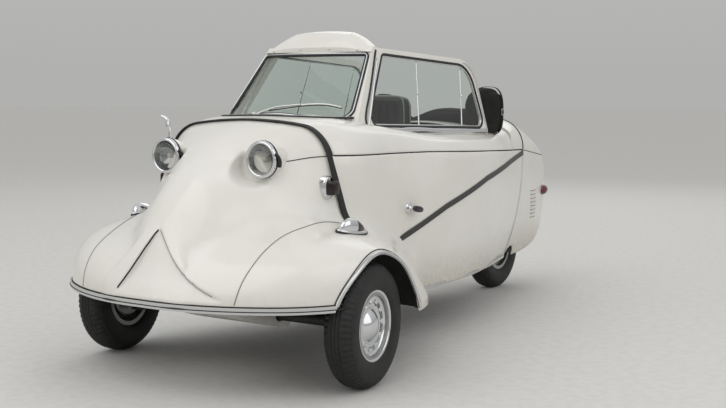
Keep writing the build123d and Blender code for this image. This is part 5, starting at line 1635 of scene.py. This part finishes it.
def pad_piece(name, start, end, widths, thick, flutes=6):
    """A closed pad from its two faces and a bulging wall between their rims, with piping on both rims."""
    face, back = pad_grid(start, end, widths, thick, 24.0, flutes)
    rows, columns = face.shape[:2]
    ring = ([(0, c) for c in range(columns)] + [(r, columns - 1) for r in range(1, rows)]
            + [(rows - 1, c) for c in range(columns - 2, -1, -1)] + [(r, 0) for r in range(rows - 2, 0, -1)])
    ring = np.array(ring)
    rim, low = face[ring[:, 0], ring[:, 1]], back[ring[:, 0], ring[:, 1]]
    away = unit(rim - rim.mean(0))
    shares = np.linspace(0, 1, 7)[:, None, None]
    wall_rows = rim + (low - rim) * shares + 0.004 * np.sin(np.pi * shares) * away
    count = rows * columns
    faces = np.concatenate([grid_faces(rows, columns), grid_faces(rows, columns, start=count),
                            grid_faces(7, len(ring), close_columns=True, start=2 * count)])
    points = np.concatenate([face.reshape(-1, 3), back.reshape(-1, 3), wall_rows.reshape(-1, 3)])
    piece = mesh_piece(name, points, faces, LEATHER, "car")
    for tag, loop in (("front", rim), ("back", low)):
        bead(name + "_piping_" + tag, resample(np.concatenate([loop, loop[:1]])[None], 260)[0][:-1],
             3.6 * MM, PIPING, "car", sides=8, closed=True)
    return piece


front_cushion = pad_piece("front_seat_cushion", (468, 344), (868, 334), [196, 203, 203, 200], 86)
FRONT_BACK_WIDTHS = [203, 203, 200, 172, 138, 120, 116]
front_back = pad_piece("front_seat_back", (925, 372), (986, 945), FRONT_BACK_WIDTHS, 98, flutes=5)
rear_cushion = pad_piece("rear_seat_cushion", (1124, 372), (1448, 362), [206, 213, 213, 210], 122)
rear_back = pad_piece("rear_seat_back", (1514, 380), (1550, 774), [213, 213, 213, 206, 190], 98)
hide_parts("front_seat")
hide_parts("rear_seat")
print("seat pads:", [len(o.data.polygons) for o in (front_cushion, front_back, rear_cushion, rear_back)])


# %% Folded hood
# The roll's middle line from the left ear to the right one: across, station, base, top, half thickness.
HOOD_ROLL = np.array([
    (240, 1320, 806, 880, 32), (243, 1338, 803, 944, 50), (246, 1364, 797, 974, 60), (250, 1400, 790, 985, 66),
    (251, 1440, 784, 983, 69), (240, 1474, 782, 966, 68), (212, 1490, 780, 934, 70), (168, 1484, 778, 902, 84),
    (104, 1464, 772, 893, 104), (22, 1456, 770, 893, 110), (-55, 1458, 770, 868, 106),
    (-110, 1466, 772, 850, 96), (-160, 1474, 774, 842, 84), (-196, 1480, 778, 862, 74),
    (-226, 1482, 784, 900, 64), (-246, 1446, 788, 944, 66), (-250, 1400, 793, 957, 64),
    (-246, 1364, 799, 948, 58), (-243, 1338, 804, 916, 48), (-240, 1320, 807, 866, 30),
], float)


def boxy(angle):
    """An upright oval made boxy by powers of its cosine and sine: across and rise at each angle."""
    c, s = np.cos(angle), np.sin(angle)
    return powered(c, 0.62), powered(s, np.where(s > 0, 0.75, 0.5))


def hood_roll(name):
    """A closed roll of folded cloth. Its section is a boxy upright oval, and the folds run along it as
    rounded lobes with sharp creases: 1 - a * (1 - |sin(n v)|)."""
    count, around = 340, 132
    middle = cubic(np.linspace(0, 1, len(HOOD_ROLL)), HOOD_ROLL, np.linspace(0, 1, 600))
    even = resample(middle[None], count)[0]
    path = np.stack([even[:, 0], even[:, 1]], -1)
    tangent = unit(np.gradient(path, axis=0))
    away = np.stack([tangent[:, 1], -tangent[:, 0]], -1)
    u = np.linspace(0, 1, count)[:, None]
    v = np.linspace(0, 2 * np.pi, around, endpoint=False)[None]
    sway = 0.35 * np.sin(9 * u) + 0.25 * np.sin(17 * u + 1.0)
    lobes = np.abs(np.sin(2.5 * v + 1.1 * sway + 0.6)) ** 0.6
    small = np.abs(np.sin(6.5 * v - 2.1 * sway + 3 * u)) ** 0.8
    wrinkle = np.sin(46 * u + 3 * np.sin(v)) * np.sin(3 * v + 14 * u)
    size = 1 - 0.075 * (1 - lobes) - 0.022 * (1 - small) + 0.010 * wrinkle
    ends = np.sqrt(np.clip(1 - np.abs(2 * u - 1) ** 60, 0, 1))
    across, rise = (share * size * ends for share in boxy(v))
    middle, tall = (even[:, 2] + even[:, 3]) / 2, (even[:, 3] - even[:, 2]) / 2
    x = path[:, :1] + away[:, :1] * across * even[:, 4:]
    y = path[:, 1:] + away[:, 1:] * across * even[:, 4:]
    z = middle[:, None] + tall[:, None] * rise
    return mesh_piece(name, place(x, y, z), grid_faces(count, around, close_columns=True), CANVAS, "lid")


hood = hood_roll("folded_hood_cloth")
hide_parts("folded_hood")


def hood_strap():
    """A strap: a flat band round the left ear, its tongue hanging over the edge, and a wire buckle."""
    across, rise = boxy(np.linspace(0, 2 * np.pi, 120, endpoint=False))
    loop = place(251 + 71 * across, 1452, 884 + 104 * rise)
    away = unit(loop - place(251.0, 1452.0, 884.0))
    band = bead("hood_strap", loop + 1 * MM * away, 9 * MM, CANVAS, "lid", sides=12, closed=True, flat=0.12,
                normal=away)
    knots = [(318, 1462, 806), (327, 1476, 798), (335, 1488, 786), (338, 1500, 772), (334, 1514, 760)]
    hanging = cubic(np.linspace(0, 1, 5), np.array(knots, float), np.linspace(0, 1, 60))
    tongue = place(*resample(hanging[None], 60)[0].T)
    end = bead("hood_strap_tongue", tongue, 8 * MM, WEBBING, "lid", sides=12, flat=0.12, normal=(1, -0.2, 0.5))
    square = superellipse(13, 10, 4.0, 60)
    wire = place(323.5, 1452 + square[:, 0], 880 + square[:, 1])
    bead("hood_buckle", wire, 1.6 * MM, CHROME, "lid", sides=8, closed=True)


hood_strap()
print("hood roll:", len(hood.data.polygons), "faces, top", round(max(v.co.z for v in hood.data.vertices), 3))


# %% [markdown]
# ## Studio
# The photograph was taken under an even grey sky, which leaves almost no hard glint on the enamel. A
# broad pale floor, one very wide soft lamp over the nose, two weaker ones and a sky that is
# brightest overhead give the same flat light.

# %% Floor, lamps and sky
def studio_floor():
    """A broad level disc of pale plaster."""
    angle = np.linspace(0, 2 * np.pi, 128, endpoint=False)
    ring = 80.0 * np.stack([np.cos(angle), np.sin(angle), 0 * angle], -1)
    mesh = bpy.data.meshes.new("studio_floor")
    mesh.from_pydata(ring.tolist(), [], [list(range(128))])
    floor = bpy.data.objects.new("studio_floor", mesh)
    bpy.context.scene.collection.objects.link(floor)
    mesh.materials.append(surface("studio_plaster", "#d6d5d2", "#cfcecb", (40.0, 6.0, 0.4, 0.7), Roughness=0.9))
    return floor


def soft_lamp(name, where, aim, size, watts):
    """A square area lamp that points at a place."""
    data = bpy.data.lights.new(name, "AREA")
    data.size = size
    data.energy = watts
    lamp = bpy.data.objects.new(name, data)
    lamp.location = where
    lamp.rotation_euler = (Vector(aim) - Vector(where)).to_track_quat("-Z", "Y").to_euler()
    bpy.context.scene.collection.objects.link(lamp)
    return lamp


def even_sky(horizon, zenith, strength):
    """A sky whose colour climbs from one hex colour at the horizon to another overhead."""
    world = bpy.data.worlds.new("studio_sky")
    bpy.context.scene.world = world
    world.use_nodes = True
    tree = world.node_tree
    coords = add(tree, "ShaderNodeTexCoord")
    split = add(tree, "ShaderNodeSeparateXYZ", {0: coords.outputs["Generated"]})
    climb = add(tree, "ShaderNodeMapRange", {"Value": split.outputs[2], "From Min": 0.02, "From Max": 0.75})
    ends = {"Factor": climb.outputs[0], "A": linear(horizon), "B": linear(zenith)}
    colour = add(tree, "ShaderNodeMix", ends, data_type="RGBA")
    tree.links.new(colour.outputs["Result"], tree.nodes["Background"].inputs[0])
    tree.nodes["Background"].inputs[1].default_value = strength


studio_floor()
soft_lamp("key_lamp", (-1.0, -5.0, 5.2), (0, 0, 0.3), 7.0, 150.0)
soft_lamp("fill_lamp", (5.5, -0.5, 3.6), (0, 0, 0.5), 5.5, 70.0)
soft_lamp("back_lamp", (-2.0, 5.5, 4.5), (0, 0.2, 0.6), 5.0, 60.0)
even_sky("#cdcdcc", "#fafafa", 0.72)
bpy.context.scene.view_settings.view_transform = "Standard"
